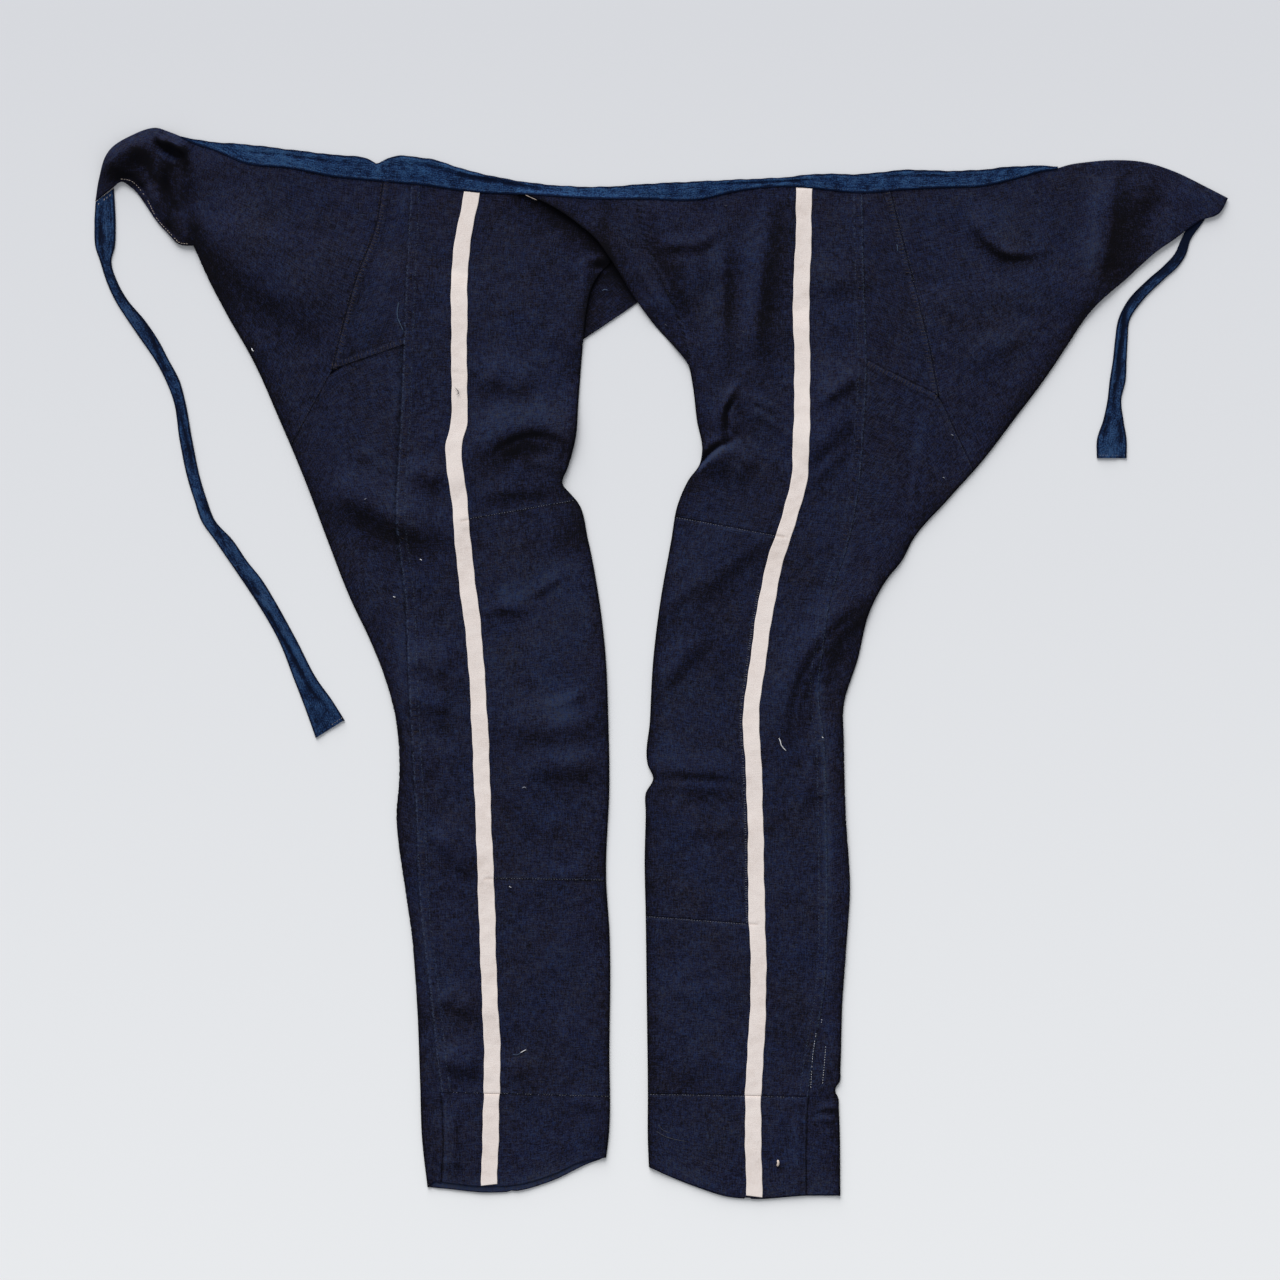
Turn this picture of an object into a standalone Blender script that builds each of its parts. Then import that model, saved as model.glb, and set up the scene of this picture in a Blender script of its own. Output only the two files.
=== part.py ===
"""Momohiki work pants of indigo cotton, laid flat on a surface with the front up.

The waistband is spread along the top, the two legs hang down as flattened tubes, the wide seat panels reach
out on both sides with a tie at each end of the band, and the right front crosses over the left at the middle.

All sizes in the tables are millimetres: X to the right, Y towards the waistband, Z up. The origin lies on the
surface under the middle of the garment. "l" and "r" are the halves at the left and right of the layout.
"""
import math

import bmesh
import bpy
import numpy as np

# Driving sizes
MM = 0.001
WALL = 1.0             # one layer of cloth
BAND_WALL = 2.0        # waistband, folded double
TIE_WALL = 1.6         # tie, folded and pressed
SEAM_GAP = 0.3         # between two pieces that are sewn together
LAYER = 2.0            # rise of a panel over the layer under it
CROSSING = 2.5         # further rise of the right front where it lies on the left one
TIE_RISE = 2.3         # rise of the seat panel over the root of the right tie
MARGIN = 14.0          # how far past the layer under it a panel stays raised
RAMP = 25.0            # way over which it then comes down to the surface again
FOLD_BULGE = 1.2       # how far the cloth rounds outwards at a folded edge
FOLD_INSET = FOLD_BULGE + WALL / 2
FOLD_STEPS = 3         # flat faces round a folded edge
STRIPE_WIDTH = 15.0    # pale tape along the front of each leg
HEM_PEEK = 4.0         # how far the back of a cuff shows below its front
CROTCH_START = 4.0     # the crotch piece begins this far along the free edge of the left seat panel
CROTCH_REACH = 32.0    # and is sewn to it over this length
STRIPE_TOP_GAP = 1.0   # between the upper end of a stripe and the band
TUCK = 2.5             # the left front ends this far below the band where the right one hides it
NORMAL_REACH = 3.0     # the direction of a folded edge is taken over this way up and down
MERGE = 0.00001        # metres, joins the strips of one piece

# Faces along the legs between the levels of the tables below, and across the pieces
ROWS = {"cuff": 3, "shin": 9, "knee": 15, "thigh": 8, "hip": 8}
FRONT_COLUMNS = 4
INNER_COLUMNS = 7
BACK_COLUMNS = 2
GORE_COLUMNS = 2
SEAT_COLUMNS = {"l": 9, "r": 13}
SEAT_LOW_ROWS = 3
END_COLUMNS = 5
CROTCH_COLUMNS = 6
UNDERLAY_ROWS = 4
OUTLINE_STEPS = 60

# Levels up each leg: height in Y at which every line down the leg meets a cross seam
LEVEL_COLUMNS = ("outer", "side", "stripe", "inner", "back")
LEVELS = {
    "l": {
        "hem": (-492, -493, -497, -464, -495),
        "ankle": (-401, -403, -404, -407, -405),
        "calf": (-204, -204, -202, -204, -204),
        "knee": (116, 134, 134, 153, 144),
        "crotch": (204, 299, 299, 299, 272),
        "waist": (392, 452, 444, 437, 272),
    },
    "r": {
        "hem": (-500, -500, -503, -473, -500),
        "ankle": (-408, -407, -406, -404, -405),
        "calf": (-246, -246, -245, -237, -240),
        "knee": (97, 116, 119, 138, 135),
        "crotch": (181, 285, 285, 280, 255),
        "waist": (338, 443, 448, 441, 255),
    },
}
STRETCHES = (("hem", "ankle", "cuff"), ("ankle", "calf", "shin"), ("calf", "knee", "knee"),
             ("knee", "crotch", "thigh"), ("crotch", "waist", "hip"))

# Lines down each leg as (x, y): the folded outer edge, the side seam, the stripe, the inner edge, the back seam
LINES = {
    "l": {
        "outer": ((-438, 392), (-424, 360), (-408, 329), (-383, 285), (-358, 229), (-334, 172), (-313, 116),
                  (-291, 60), (-273, 22), (-258, -16), (-248, -53), (-243, -81), (-248, -147), (-241, -204),
                  (-234, -251), (-229, -316), (-226, -392), (-224, -448), (-219, -492)),
        "side": ((-235, 452), (-240, 342), (-244, 229), (-248, 135), (-240, 60), (-236, -34), (-233, -91),
                 (-230, -138), (-226, -229), (-216, -316), (-209, -381), (-206, -404), (-204, -448), (-206, -493)),
        "stripe": ((-177, 444), (-188, 379), (-189, 323), (-189, 257), (-192, 201), (-190, 154), (-184, 97),
                   (-175, 22), (-170, -53), (-167, -128), (-164, -204), (-161, -298), (-158, -373), (-159, -420),
                   (-161, -497)),
        "inner": ((-50, 437), (-54, 412), (-63, 372), (-73, 299), (-77, 248), (-80, 210), (-87, 184), (-92, 169),
                  (-84, 159), (-78, 152), (-68, 116), (-59, 69), (-52, 13), (-49, -53), (-48, -110), (-51, -204),
                  (-48, -251), (-48, -363), (-49, -448), (-51, -464)),
        "back": ((-92, 272), (-109, 135), (-130, -34), (-140, -204), (-140, -404), (-140, -495)),
    },
    "r": {
        "outer": ((405, 338), (387, 307), (360, 266), (332, 229), (303, 191), (270, 154), (237, 116), (227, 97),
                  (212, 78), (197, 50), (185, 3), (172, -39), (172, -81), (174, -147), (178, -213), (175, -260),
                  (171, -316), (168, -404), (169, -500)),
        "side": ((190, 443), (192, 342), (194, 285), (191, 219), (185, 154), (175, 107), (161, 65), (154, 22),
                 (149, -29), (154, -72), (156, -138), (157, -222), (155, -298), (145, -363), (139, -407),
                 (137, -448), (137, -500)),
        "stripe": ((135, 448), (134, 389), (132, 342), (133, 285), (132, 210), (130, 172), (122, 140), (108, 97),
                   (100, 60), (94, 22), (89, -16), (85, -44), (87, -91), (89, -147), (90, -222), (92, -298),
                   (90, -354), (87, -404), (87, -448), (88, -503)),
        "inner": ((-134, 441), (-117, 436), (-94, 424), (-76, 411), (-61, 398), (-47, 379), (-23, 341), (-5, 317),
                  (13, 297), (26, 280), (30, 262), (34, 229), (39, 199), (37, 188), (26, 172), (16, 149), (10, 116),
                  (0, 60), (-7, 3), (-10, -53), (-12, -95), (-7, -108), (-14, -122), (-14, -140), (-15, -185), (-14, -237),
                  (-13, -316), (-12, -404), (-12, -448), (-11, -473)),
        "back": ((48, 255), (63, 135), (75, -34), (82, -222), (82, -404), (82, -500)),
    },
}

# Seam between the side gore and the seat panel, from the band down to the bottom of the gore
GORE_SEAM = {
    "l": ((-260, 454), (-267, 412), (-286, 360), (-299, 313), (-308, 276)),
    "r": ((216, 444), (230, 389), (242, 342), (253, 295), (261, 252)),
}

# Front edge of the hems, from the outer to the inner side
HEM = {
    "l": ((-219, -492), (-206, -493), (-161, -497), (-132, -495), (-102, -486), (-66, -469), (-51, -464)),
    "r": ((169, -500), (137, -500), (88, -503), (63, -501), (37, -493), (4, -480), (-11, -473)),
}

# Waistband: lower seam and upper edge
BAND_LOW = ((-435, 488), (-419, 483), (-391, 471), (-348, 466), (-306, 458), (-264, 454), (-221, 450),
            (-179, 444), (-123, 441), (-57, 437), (-10, 437), (32, 436), (75, 445), (117, 449), (145, 447),
            (188, 443), (230, 446), (272, 448), (300, 449), (329, 455), (357, 463))
BAND_TOP = ((-435, 492), (-419, 490), (-391, 488), (-348, 483), (-306, 478), (-264, 473), (-221, 475),
            (-179, 463), (-123, 452), (-57, 448), (-10, 451), (32, 453), (75, 455), (117, 457), (145, 460),
            (188, 460), (230, 464), (272, 463), (300, 464), (329, 467), (357, 468))

# Ends of the seat panels beyond the band. The left end turns over towards the tie: the crease where it turns,
# its upper edge, its free lower edge and the seam of the tie. The right end runs out to a point.
TURN_CREASE = ((-438, 392), (-449, 415), (-454, 445), (-449, 470), (-435, 488))
TURN_TOP = ((-435, 488), (-459, 498), (-474, 503), (-499, 494), (-515, 483), (-527, 456), (-531, 434))
TURN_LOW = ((-438, 392), (-453, 394), (-461, 402), (-473, 415), (-487, 440), (-499, 452), (-506, 453), (-514, 447))
POINT_TOP = ((357, 463), (371, 465), (385, 469), (399, 471), (427, 473), (455, 471), (484, 462), (512, 448),
             (533, 437))
POINT_LOW = ((405, 338), (420, 349), (431, 356), (450, 373), (466, 387), (482, 398), (507, 416), (525, 423),
             (533, 437))

# Free edge of each seat panel where it runs under the front to the crotch
FREE_EDGE = {
    "l": ((-438, 392), (-339, 372), (-198, 336)),
    "r": ((405, 338), (282, 328), (150, 302)),
}

# Crotch piece that shows between the two fronts: lower and upper edge to the right of the left front
CROTCH_LOW = ((-73, 299), (-22, 339), (37, 383))
CROTCH_HIGH = ((-106, 313), (-100, 350), (-86, 382), (-60, 398), (-20, 404), (22, 404))

# Ties as sections (y, left edge, right edge)
TIE_SECTIONS = {
    "l": ((412, -532, -512), (391, -531, -513), (379, -527, -516), (360, -521, -511), (342, -513, -501),
          (323, -501, -485), (304, -488, -472), (285, -475, -462), (266, -465, -452), (248, -458, -447),
          (210, -452, -440), (172, -444, -432), (153, -438, -426), (135, -432, -419), (116, -419, -402),
          (97, -406, -389), (78, -393, -374), (60, -381, -363), (22, -359, -342), (-16, -344, -322),
          (-34, -337, -309), (-53, -330, -297)),
    "r": ((424, 504, 516), (415, 498, 510), (398, 489, 498), (385, 483, 494), (375, 474, 488), (360, 457, 472),
          (341, 439, 453), (323, 430, 441), (304, 427, 439), (285, 425, 438), (266, 422, 437), (248, 420, 433),
          (229, 416, 435), (210, 410, 438), (193, 410, 438)),
}
TIE_SEAM = {"l": ((-531, 433.5), (-513.6, 446.5))}
TIE_END = {"l": ((-324, -70), (-297, -53))}
TIE_ROOT_SECTIONS = 4    # sections of the right tie that the seat panel covers

# Largest folds of the upper layer: height, width of the slope towards the waist, width of the other slope, route
FOLDS = (
    ("left seat swell", 3.0, 38, 30, ((-428, 440), (-375, 378), (-300, 304))),
    ("left hip, over the thigh", 2.8, 22, 13, ((-322, 172), (-250, 152), (-207, 135))),
    ("left thigh, upper", 2.4, 22, 12, ((-179, 273), (-150, 266), (-118, 247))),
    ("left thigh, middle", 3.0, 24, 13, ((-168, 210), (-142, 224), (-113, 228), (-86, 218))),
    ("left thigh, lower", 2.2, 14, 10, ((-150, 168), (-118, 178), (-95, 175))),
    ("left side, upper", 2.0, 18, 11, ((-240, 11), (-193, -14))),
    ("left side, lower", 2.0, 18, 11, ((-242, -29), (-193, -44))),
    ("left knee, upper", 2.4, 24, 14, ((-150, -55), (-104, -58), (-57, -50))),
    ("left knee, lower", 2.2, 18, 12, ((-132, -90), (-90, -92), (-51, -88))),
    ("left calf, outer", 2.0, 16, 10, ((-217, -150), (-193, -176), (-172, -200))),
    ("left ankle, outer", 2.4, 18, 10, ((-223, -360), (-196, -370), (-168, -386))),
    ("right pinch, upper", 3.0, 16, 10, ((70, 258), (62, 230), (64, 206), (80, 184))),
    ("right pinch, lower", 2.6, 18, 12, ((34, 196), (60, 175), (90, 172))),
    ("right thigh, beside the stripe", 2.4, 20, 12, ((108, 425), (95, 378), (86, 318), (84, 270))),
    ("right thigh, inner", 2.0, 18, 12, ((60, 402), (64, 355), (68, 300))),
    ("right side, over the knee", 2.8, 26, 13, ((131, 186), (160, 214), (184, 246))),
    ("right side, middle", 2.2, 22, 12, ((143, 246), (168, 262), (188, 276))),
    ("right side, upper", 1.8, 20, 12, ((146, 350), (170, 360), (190, 364))),
    ("right knee, across", 2.6, 26, 13, ((28, 60), (60, 92), (98, 124))),
    ("right shin, across", 2.2, 16, 10, ((-8, -98), (28, -97), (74, -98))),
    ("right side, drape over the leg", 3.0, 30, 8, ((196, 48), (160, 8), (136, -36), (118, -96))),
    ("right seat, fold of the end", 3.0, 34, 18, ((424, 466), (417, 410), (408, 350))),
    ("right seat, crease", 1.8, 20, 10, ((286, 428), (312, 395), (346, 384))),
    ("right back of the leg, crease", 2.0, 16, 8, ((258, 246), (246, 196), (234, 124))),
    ("turned end, roll", 4.5, 12, 14, ((-522, 452), (-512, 474), (-494, 484), (-476, 489))),
    ("turned end, lip", 2.6, 12, 9, ((-484, 452), (-468, 422), (-454, 405))),
    ("turned end, pocket", 3.5, 8, 8, ((-470, 494), (-452, 487), (-444, 474))),
)

# Colours in linear light, with roughness
FINISHES = {
    "indigo": ((0.0137, 0.0144, 0.0307), 0.95),
    "denim": ((0.0116, 0.0262, 0.0742), 0.92),
    "tie": ((0.0110, 0.0232, 0.0612), 0.92),
    "stripe": ((0.730, 0.638, 0.597), 0.9),
}


def material(name):
    """Principled material of one of the cloths."""
    colour, roughness = FINISHES[name]
    cloth_material = bpy.data.materials.new(name)
    cloth_material.use_nodes = True
    shader = cloth_material.node_tree.nodes["Principled BSDF"]
    shader.inputs["Base Color"].default_value = (*colour, 1.0)
    shader.inputs["Roughness"].default_value = roughness
    shader.inputs["Metallic"].default_value = 0.0
    cloth_material.diffuse_color = (*colour, 1.0)
    return cloth_material


def smooth(points, steps=12):
    """Smooth curve through the points, as a dense row of (x, y)."""
    points = np.array(points, float)
    along = np.concatenate([[0.0], np.cumsum(np.hypot(*np.diff(points, axis=0).T))])
    slopes = np.gradient(points, along, axis=0, edge_order=1)
    curve = []
    for i in range(len(points) - 1):
        span = along[i + 1] - along[i]
        t = np.linspace(0, 1, steps, endpoint=False)[:, None]
        curve.append((2 * t**3 - 3 * t**2 + 1) * points[i] + (t**3 - 2 * t**2 + t) * span * slopes[i]
                     + (3 * t**2 - 2 * t**3) * points[i + 1] + (t**3 - t**2) * span * slopes[i + 1])
    curve.append(points[-1:])
    return np.concatenate(curve)


def spread(curve, count):
    """The curve as count equal steps."""
    curve = np.array(curve, float)
    along = np.concatenate([[0.0], np.cumsum(np.hypot(*np.diff(curve, axis=0).T))])
    places = np.linspace(0, along[-1], count + 1)
    return np.stack([np.interp(places, along, curve[:, axis]) for axis in (0, 1)], axis=1)


def between(curve, start, end, count, axis):
    """Part of a curve from one coordinate to another along an axis, as count equal steps."""
    if curve[0, axis] > curve[-1, axis]:
        curve = curve[::-1]
    low, high = min(start, end), max(start, end)
    other = 1 - axis
    inside = curve[(curve[:, axis] > low) & (curve[:, axis] < high)]
    ends = []
    for value in (low, high):
        point = [0.0, 0.0]
        point[axis] = value
        point[other] = np.interp(value, curve[:, axis], curve[:, other])
        ends.append(point)
    part = np.concatenate([[ends[0]], inside, [ends[1]]])
    if start > end:
        part = part[::-1]
    return spread(part, count)


def patch(first, last, low=None, high=None, columns=4):
    """Plan grid between two sides with equal rows; low and high are curved cross edges, else straight."""
    count = len(low) if low is not None else len(high) if high is not None else columns + 1
    u = np.linspace(0, 1, count)[None, :, None]
    v = np.linspace(0, 1, len(first))[:, None, None]
    grid = (1 - u) * first[:, None] + u * last[:, None]
    for edge, row, weight in ((low, 0, 1 - v), (high, -1, v)):
        if edge is not None:
            straight = (1 - u[0]) * first[row] + u[0] * last[row]
            grid = grid + weight * (edge - straight)[None]
    return grid


def outward(edge, inner):
    """Unit normals of an edge in plan, away from the next row of points."""
    along = np.gradient(edge, axis=0)
    normal = np.stack([along[:, 1], -along[:, 0]], axis=1)
    normal /= np.linalg.norm(normal, axis=1)[:, None]
    side = np.sign(np.sum(normal * (inner - edge), axis=1))
    return -normal * side[:, None]


def pull(grid, sides, distance=SEAM_GAP / 2):
    """Moves sides of a plan grid inwards: first, last (columns), low, high (rows)."""
    edges = {"first": (grid[:, 0], grid[:, 1]), "last": (grid[:, -1], grid[:, -2]),
             "low": (grid[0], grid[1]), "high": (grid[-1], grid[-2])}
    moves = [(edges[side][0], distance * outward(*edges[side])) for side in sides]
    for edge, move in moves:
        edge -= move
    return grid


def distance_to(points, corners):
    """Distance from points to an outline of straight runs, and whether they lie inside it."""
    nearest = np.full(len(points), np.inf)
    inside = np.zeros(len(points), bool)
    for start, end in zip(corners, np.roll(corners, -1, axis=0)):
        run = end - start
        if not run.any():
            continue
        share = np.clip((points - start) @ run / (run @ run), 0, 1)
        nearest = np.minimum(nearest, np.hypot(*(points - start - share[:, None] * run).T))
        if run[1]:
            crosses = (start[1] > points[:, 1]) != (end[1] > points[:, 1])
            at = start[0] + (points[:, 1] - start[1]) * run[0] / run[1]
            inside ^= crosses & (points[:, 0] < at)
    return np.where(inside, 0.0, nearest)


def covers(points, corners):
    """1 over an outline and for MARGIN round it, easing to 0 over the next RAMP."""
    gap = np.clip((distance_to(points, corners) - MARGIN) / RAMP, 0, 1)
    return 0.5 + 0.5 * np.cos(math.pi * gap)


def ridge(points, fold_height, upper, lower, route):
    """Soft ridge along a route; the slope at the right hand of the route's direction is the lower one."""
    nearest = np.full(len(points), np.inf)
    turn = np.zeros(len(points))
    route = smooth(route, 4)
    for start, end in zip(route, route[1:]):
        run = end - start
        share = np.clip((points - start) @ run / (run @ run), 0, 1)
        off = points - start - share[:, None] * run
        gap = np.hypot(*off.T)
        closer = gap < nearest
        nearest = np.where(closer, gap, nearest)
        turn = np.where(closer, run[0] * off[:, 1] - run[1] * off[:, 0], turn)
    width = np.where(turn > 0, upper, lower)
    return fold_height * np.exp(-(nearest / width) ** 2)


def level(points, supports, crossing=None):
    """Height of the middle of the upper layer over plan points."""
    flat = points.reshape(-1, 2)
    rise = np.zeros(len(flat))
    for corners, layer in supports:
        rise = np.maximum(rise, layer * covers(flat, corners))
    if crossing is not None:
        rise += CROSSING * covers(flat, crossing)
    for _, fold_height, upper, lower, route in FOLDS:
        rise += ridge(flat, fold_height, upper, lower, route)
    return (WALL / 2 + rise).reshape(points.shape[:-1])


def raised(plan, supports, crossing=None):
    """Plan grid with the heights of the upper layer."""
    return np.concatenate([plan, level(plan, supports, crossing)[..., None]], axis=-1)


def laid(plan, height=WALL / 2):
    """Plan grid flat on the surface."""
    return np.concatenate([plan, np.full(plan.shape[:-1] + (1,), height)], axis=-1)


def roll(edge, away, supports):
    """Folded edge: the base that both layers end at, and the strip that rounds from the upper to the lower."""
    base = edge - away * FOLD_INSET
    top = level(base, supports)
    middle, half = (top + WALL / 2) / 2, (top - WALL / 2) / 2
    strip = []
    for step in range(FOLD_STEPS + 1):
        turn = math.pi * step / FOLD_STEPS
        plan = base + away * FOLD_BULGE * math.sin(turn)
        strip.append(np.column_stack([plan, middle + half * math.cos(turn)]))
    return base, np.array(strip)


def cloth(name, grids, finish, wall=WALL):
    """One sewn piece: an open surface of joined strips, with the wall of its cloth."""
    shape = bmesh.new()
    for grid in grids:
        rows = [[shape.verts.new(point * MM) for point in row] for row in grid]
        for lower, upper in zip(rows, rows[1:]):
            for i in range(len(lower) - 1):
                shape.faces.new((lower[i], lower[i + 1], upper[i + 1], upper[i]))
    bmesh.ops.remove_doubles(shape, verts=shape.verts, dist=MERGE)
    bmesh.ops.recalc_face_normals(shape, faces=shape.faces)
    mesh = bpy.data.meshes.new(name)
    shape.to_mesh(mesh)
    shape.free()
    mesh.materials.append(MATERIALS[finish])
    mesh.shade_smooth()
    piece = bpy.data.objects.new(name, mesh)
    GARMENT.objects.link(piece)
    thickness = piece.modifiers.new("wall", "SOLIDIFY")
    thickness.thickness = wall * MM
    thickness.offset = 0.0
    thickness.use_even_offset = True
    return piece


class Half:
    """One half of the garment: its lines, its levels and the pieces cut from them."""

    def __init__(self, side):
        self.side = side
        self.curves = {name: smooth(points) for name, points in LINES[side].items()}
        self.gore_seam = smooth(GORE_SEAM[side])
        self.seat_low = np.array(self.point("outer", "crotch"))
        self.seat_end = np.array(LINES[side]["outer"][0], float)
        crotch = np.array([self.point("inner", "crotch")])
        self.crotch_end = (crotch - self.away("inner", crotch) * (FOLD_INSET + 2 * SEAM_GAP))[0]
        self.free_edge = smooth((*FREE_EDGE[side], self.crotch_end))

    def height(self, line, name):
        """Height in Y at which a line down the leg meets a level."""
        return LEVELS[self.side][name][LEVEL_COLUMNS.index(line)]

    def point(self, line, name):
        """Where a line down the leg meets a level."""
        y = self.height(line, name)
        curve = self.curves[line]
        order = np.argsort(curve[:, 1])
        return (np.interp(y, curve[order, 1], curve[order, 0]), y)

    def away(self, line, points):
        """Unit normals of the outer or inner line at points on it, away from the leg."""
        curve = self.curves[line][::-1]
        x = [np.interp(points[:, 1] + shift, curve[:, 1], curve[:, 0]) for shift in (-NORMAL_REACH, NORMAL_REACH)]
        normal = np.column_stack([np.full(len(points), 2 * NORMAL_REACH), x[0] - x[1]])
        normal /= np.linalg.norm(normal, axis=1)[:, None]
        return normal if (line == "inner") == (self.side == "l") else -normal

    def run(self, line, start, end):
        """Points down to up along a line between two levels, with the rows of every stretch between."""
        parts = []
        names = [stretch[0] for stretch in STRETCHES] + [STRETCHES[-1][1]]
        for lower, upper, kind in STRETCHES[names.index(start):names.index(end)]:
            part = between(self.curves[line], self.height(line, lower), self.height(line, upper), ROWS[kind], 1)
            parts.append(part if not parts else part[1:])
        return np.concatenate(parts)

    def outline(self):
        """Outline of the lower layer, round the leg and along the free edge of the seat panel."""
        hem, crotch = (self.height("inner", name) for name in ("hem", "crotch"))
        outer = between(self.curves["outer"], self.seat_end[1], self.height("outer", "hem"), OUTLINE_STEPS, 1)
        inner = between(self.curves["inner"], hem, crotch, OUTLINE_STEPS, 1)
        return np.concatenate([outer, inner, self.free_edge[::-1][1:-1]])


def beside_stripe(grid, column, neighbour):
    """Sets one column of a panel along the edge of the stripe, where the stripe ends on it."""
    seam, inner = grid[:, column], grid[:, neighbour]
    across = inner - seam
    across /= np.linalg.norm(across, axis=1)[:, None]
    place = column + (1 if neighbour > column else -1)
    grid[:, place] = seam + across * STRIPE_WIDTH / 2
    return grid


def front_panels(half, supports):
    """Outer front from the side seam to the stripe, and the gore at its outer side."""
    side, stripe = half.run("side", "ankle", "waist"), half.run("stripe", "ankle", "waist")
    top = between(BAND_CURVE, side[-1, 0], stripe[-1, 0], FRONT_COLUMNS, 0)
    grid = beside_stripe(patch(side, stripe, high=top), -1, -3)
    tops = {"front": grid[-1].copy()}
    cloth(f"front_{half.side}", [raised(pull(grid, ("first", "last", "low", "high")), supports)], "indigo")

    seam = spread(half.gore_seam[::-1], ROWS["hip"])
    side = half.run("side", "crotch", "waist")
    top = between(BAND_CURVE, seam[-1, 0], side[-1, 0], GORE_COLUMNS, 0)
    grid = patch(seam, side, high=top)
    tops["gore"] = grid[-1].copy()
    cloth(f"gore_{half.side}", [raised(pull(grid, ("first", "last", "low", "high")), supports)], "indigo")
    return tops


def inner_panels(half, supports, crossing=None):
    """Panels from the stripe round the inner fold to the back seam: upper front, knee and shin."""
    tops = {}
    for name, start, end in (("inner", "knee", "waist"), ("knee", "calf", "knee"), ("shin", "ankle", "calf")):
        stripe, edge = half.run("stripe", start, end), half.run("inner", start, end)
        top = None
        if name == "inner":
            top = between(BAND_CURVE, stripe[-1, 0], edge[-1, 0], INNER_COLUMNS, 0)
        grid = beside_stripe(patch(stripe, edge, high=top, columns=INNER_COLUMNS), 0, 2)
        folded = half.run("inner", start, "crotch" if name == "inner" else end)
        count = len(folded)
        if name == "inner":
            tops["inner"] = grid[-1].copy()
        grid = pull(grid, ("first", "low", "high"))
        edge = grid[:count, -1].copy()
        base, strip = roll(edge, half.away("inner", edge), supports)
        grid[:count, -1] = base
        if name == "inner" and half.side == "l":
            hidden = grid[-1, :, 0] > CROSSING_START[0]
            grid[-1, hidden, 1] -= TUCK
        back = patch(base, half.run("back", start, "crotch" if name == "inner" else end), columns=BACK_COLUMNS)
        back = pull(back, ("last",))
        back[0, 1:] = pull(back.copy(), ("low",))[0, 1:]
        back[-1, 1:] = pull(back.copy(), ("high",))[-1, 1:]
        cloth(f"{name}_{half.side}", [raised(grid, supports, crossing), strip, laid(back)], "indigo")
    return tops


def back_leg(half, supports):
    """Back of the leg: from the side seam round the outer fold to the back seam."""
    outer, side = half.run("outer", "ankle", "crotch"), half.run("side", "ankle", "crotch")
    gore_foot = half.gore_seam[-1]
    top = np.concatenate([[outer[-1]], spread([gore_foot, side[-1]], GORE_COLUMNS)])
    grid = patch(outer, side, high=top)
    grid = pull(grid, ("last", "low", "high"))
    edge = grid[:, 0].copy()
    base, strip = roll(edge, half.away("outer", edge), supports)
    grid[:, 0] = base
    back = patch(base, half.run("back", "ankle", "crotch"), columns=BACK_COLUMNS)
    back = pull(back, ("last",))
    back[0, 1:] = pull(back.copy(), ("low",))[0, 1:]
    back[-1, 1:] = pull(back.copy(), ("high",))[-1, 1:]
    cloth(f"back_leg_{half.side}", [raised(grid, supports), strip, laid(back)], "indigo")


def cuff(half, supports):
    """Cuff: one band round the ankle with its seam on the side line."""
    hem = smooth(HEM[half.side])
    lines = {name: half.run(name, "hem", "ankle") for name in LEVEL_COLUMNS}

    def part(first, last, columns):
        low = between(hem, lines[first][0, 0], lines[last][0, 0], columns, 0)
        low[0], low[-1] = lines[first][0], lines[last][0]
        return patch(lines[first], lines[last], low=low)

    outer = beside_stripe(part("side", "stripe", FRONT_COLUMNS), -1, -3)
    inner = beside_stripe(part("stripe", "inner", INNER_COLUMNS), 0, 2)
    front = pull(np.concatenate([outer, inner[:, 1:]], axis=1), ("first", "high"))
    edge = front[:, -1].copy()
    inner_base, inner_strip = roll(edge, half.away("inner", edge), supports)
    front[:, -1] = inner_base
    rest = pull(part("outer", "side", 1), ("last", "high"))
    edge = rest[:, 0].copy()
    outer_base, outer_strip = roll(edge, half.away("outer", edge), supports)
    rest[:, 0] = outer_base
    middle = lines["back"]
    middle[-1, 1] -= SEAM_GAP / 2
    back = np.concatenate([patch(inner_base, middle, columns=BACK_COLUMNS),
                           patch(middle, outer_base, columns=BACK_COLUMNS)[:, 1:]], axis=1)
    back[0, 1:-1, 1] -= HEM_PEEK
    grids = [raised(front, supports), inner_strip, laid(back), outer_strip, raised(rest, supports)]
    cloth(f"cuff_{half.side}", grids, "indigo")


def stripes(half, supports):
    """Tape that covers the seam along the front of the leg, and its continuation on the cuff."""
    for name, start, end in (("stripe", "ankle", "waist"), ("cuff_stripe", "hem", "ankle")):
        middle = half.run("stripe", start, end)
        outer, inner = half.run("side", start, end), half.run("inner", start, end)
        columns = []
        for neighbour in (outer, inner):
            across = (neighbour - middle) / np.linalg.norm(neighbour - middle, axis=1)[:, None]
            columns.append(middle + across * STRIPE_WIDTH / 2)
        plan = np.stack([columns[0], middle, columns[1]], axis=1)
        if name == "stripe":
            plan = pull(pull(plan, ("low",)), ("high",), STRIPE_TOP_GAP)
        else:
            plan = pull(plan, ("high",))
        grid = raised(plan, supports)
        grid[..., 2] += WALL + SEAM_GAP
        cloth(f"{name}_{half.side}", [grid], "stripe")


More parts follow.
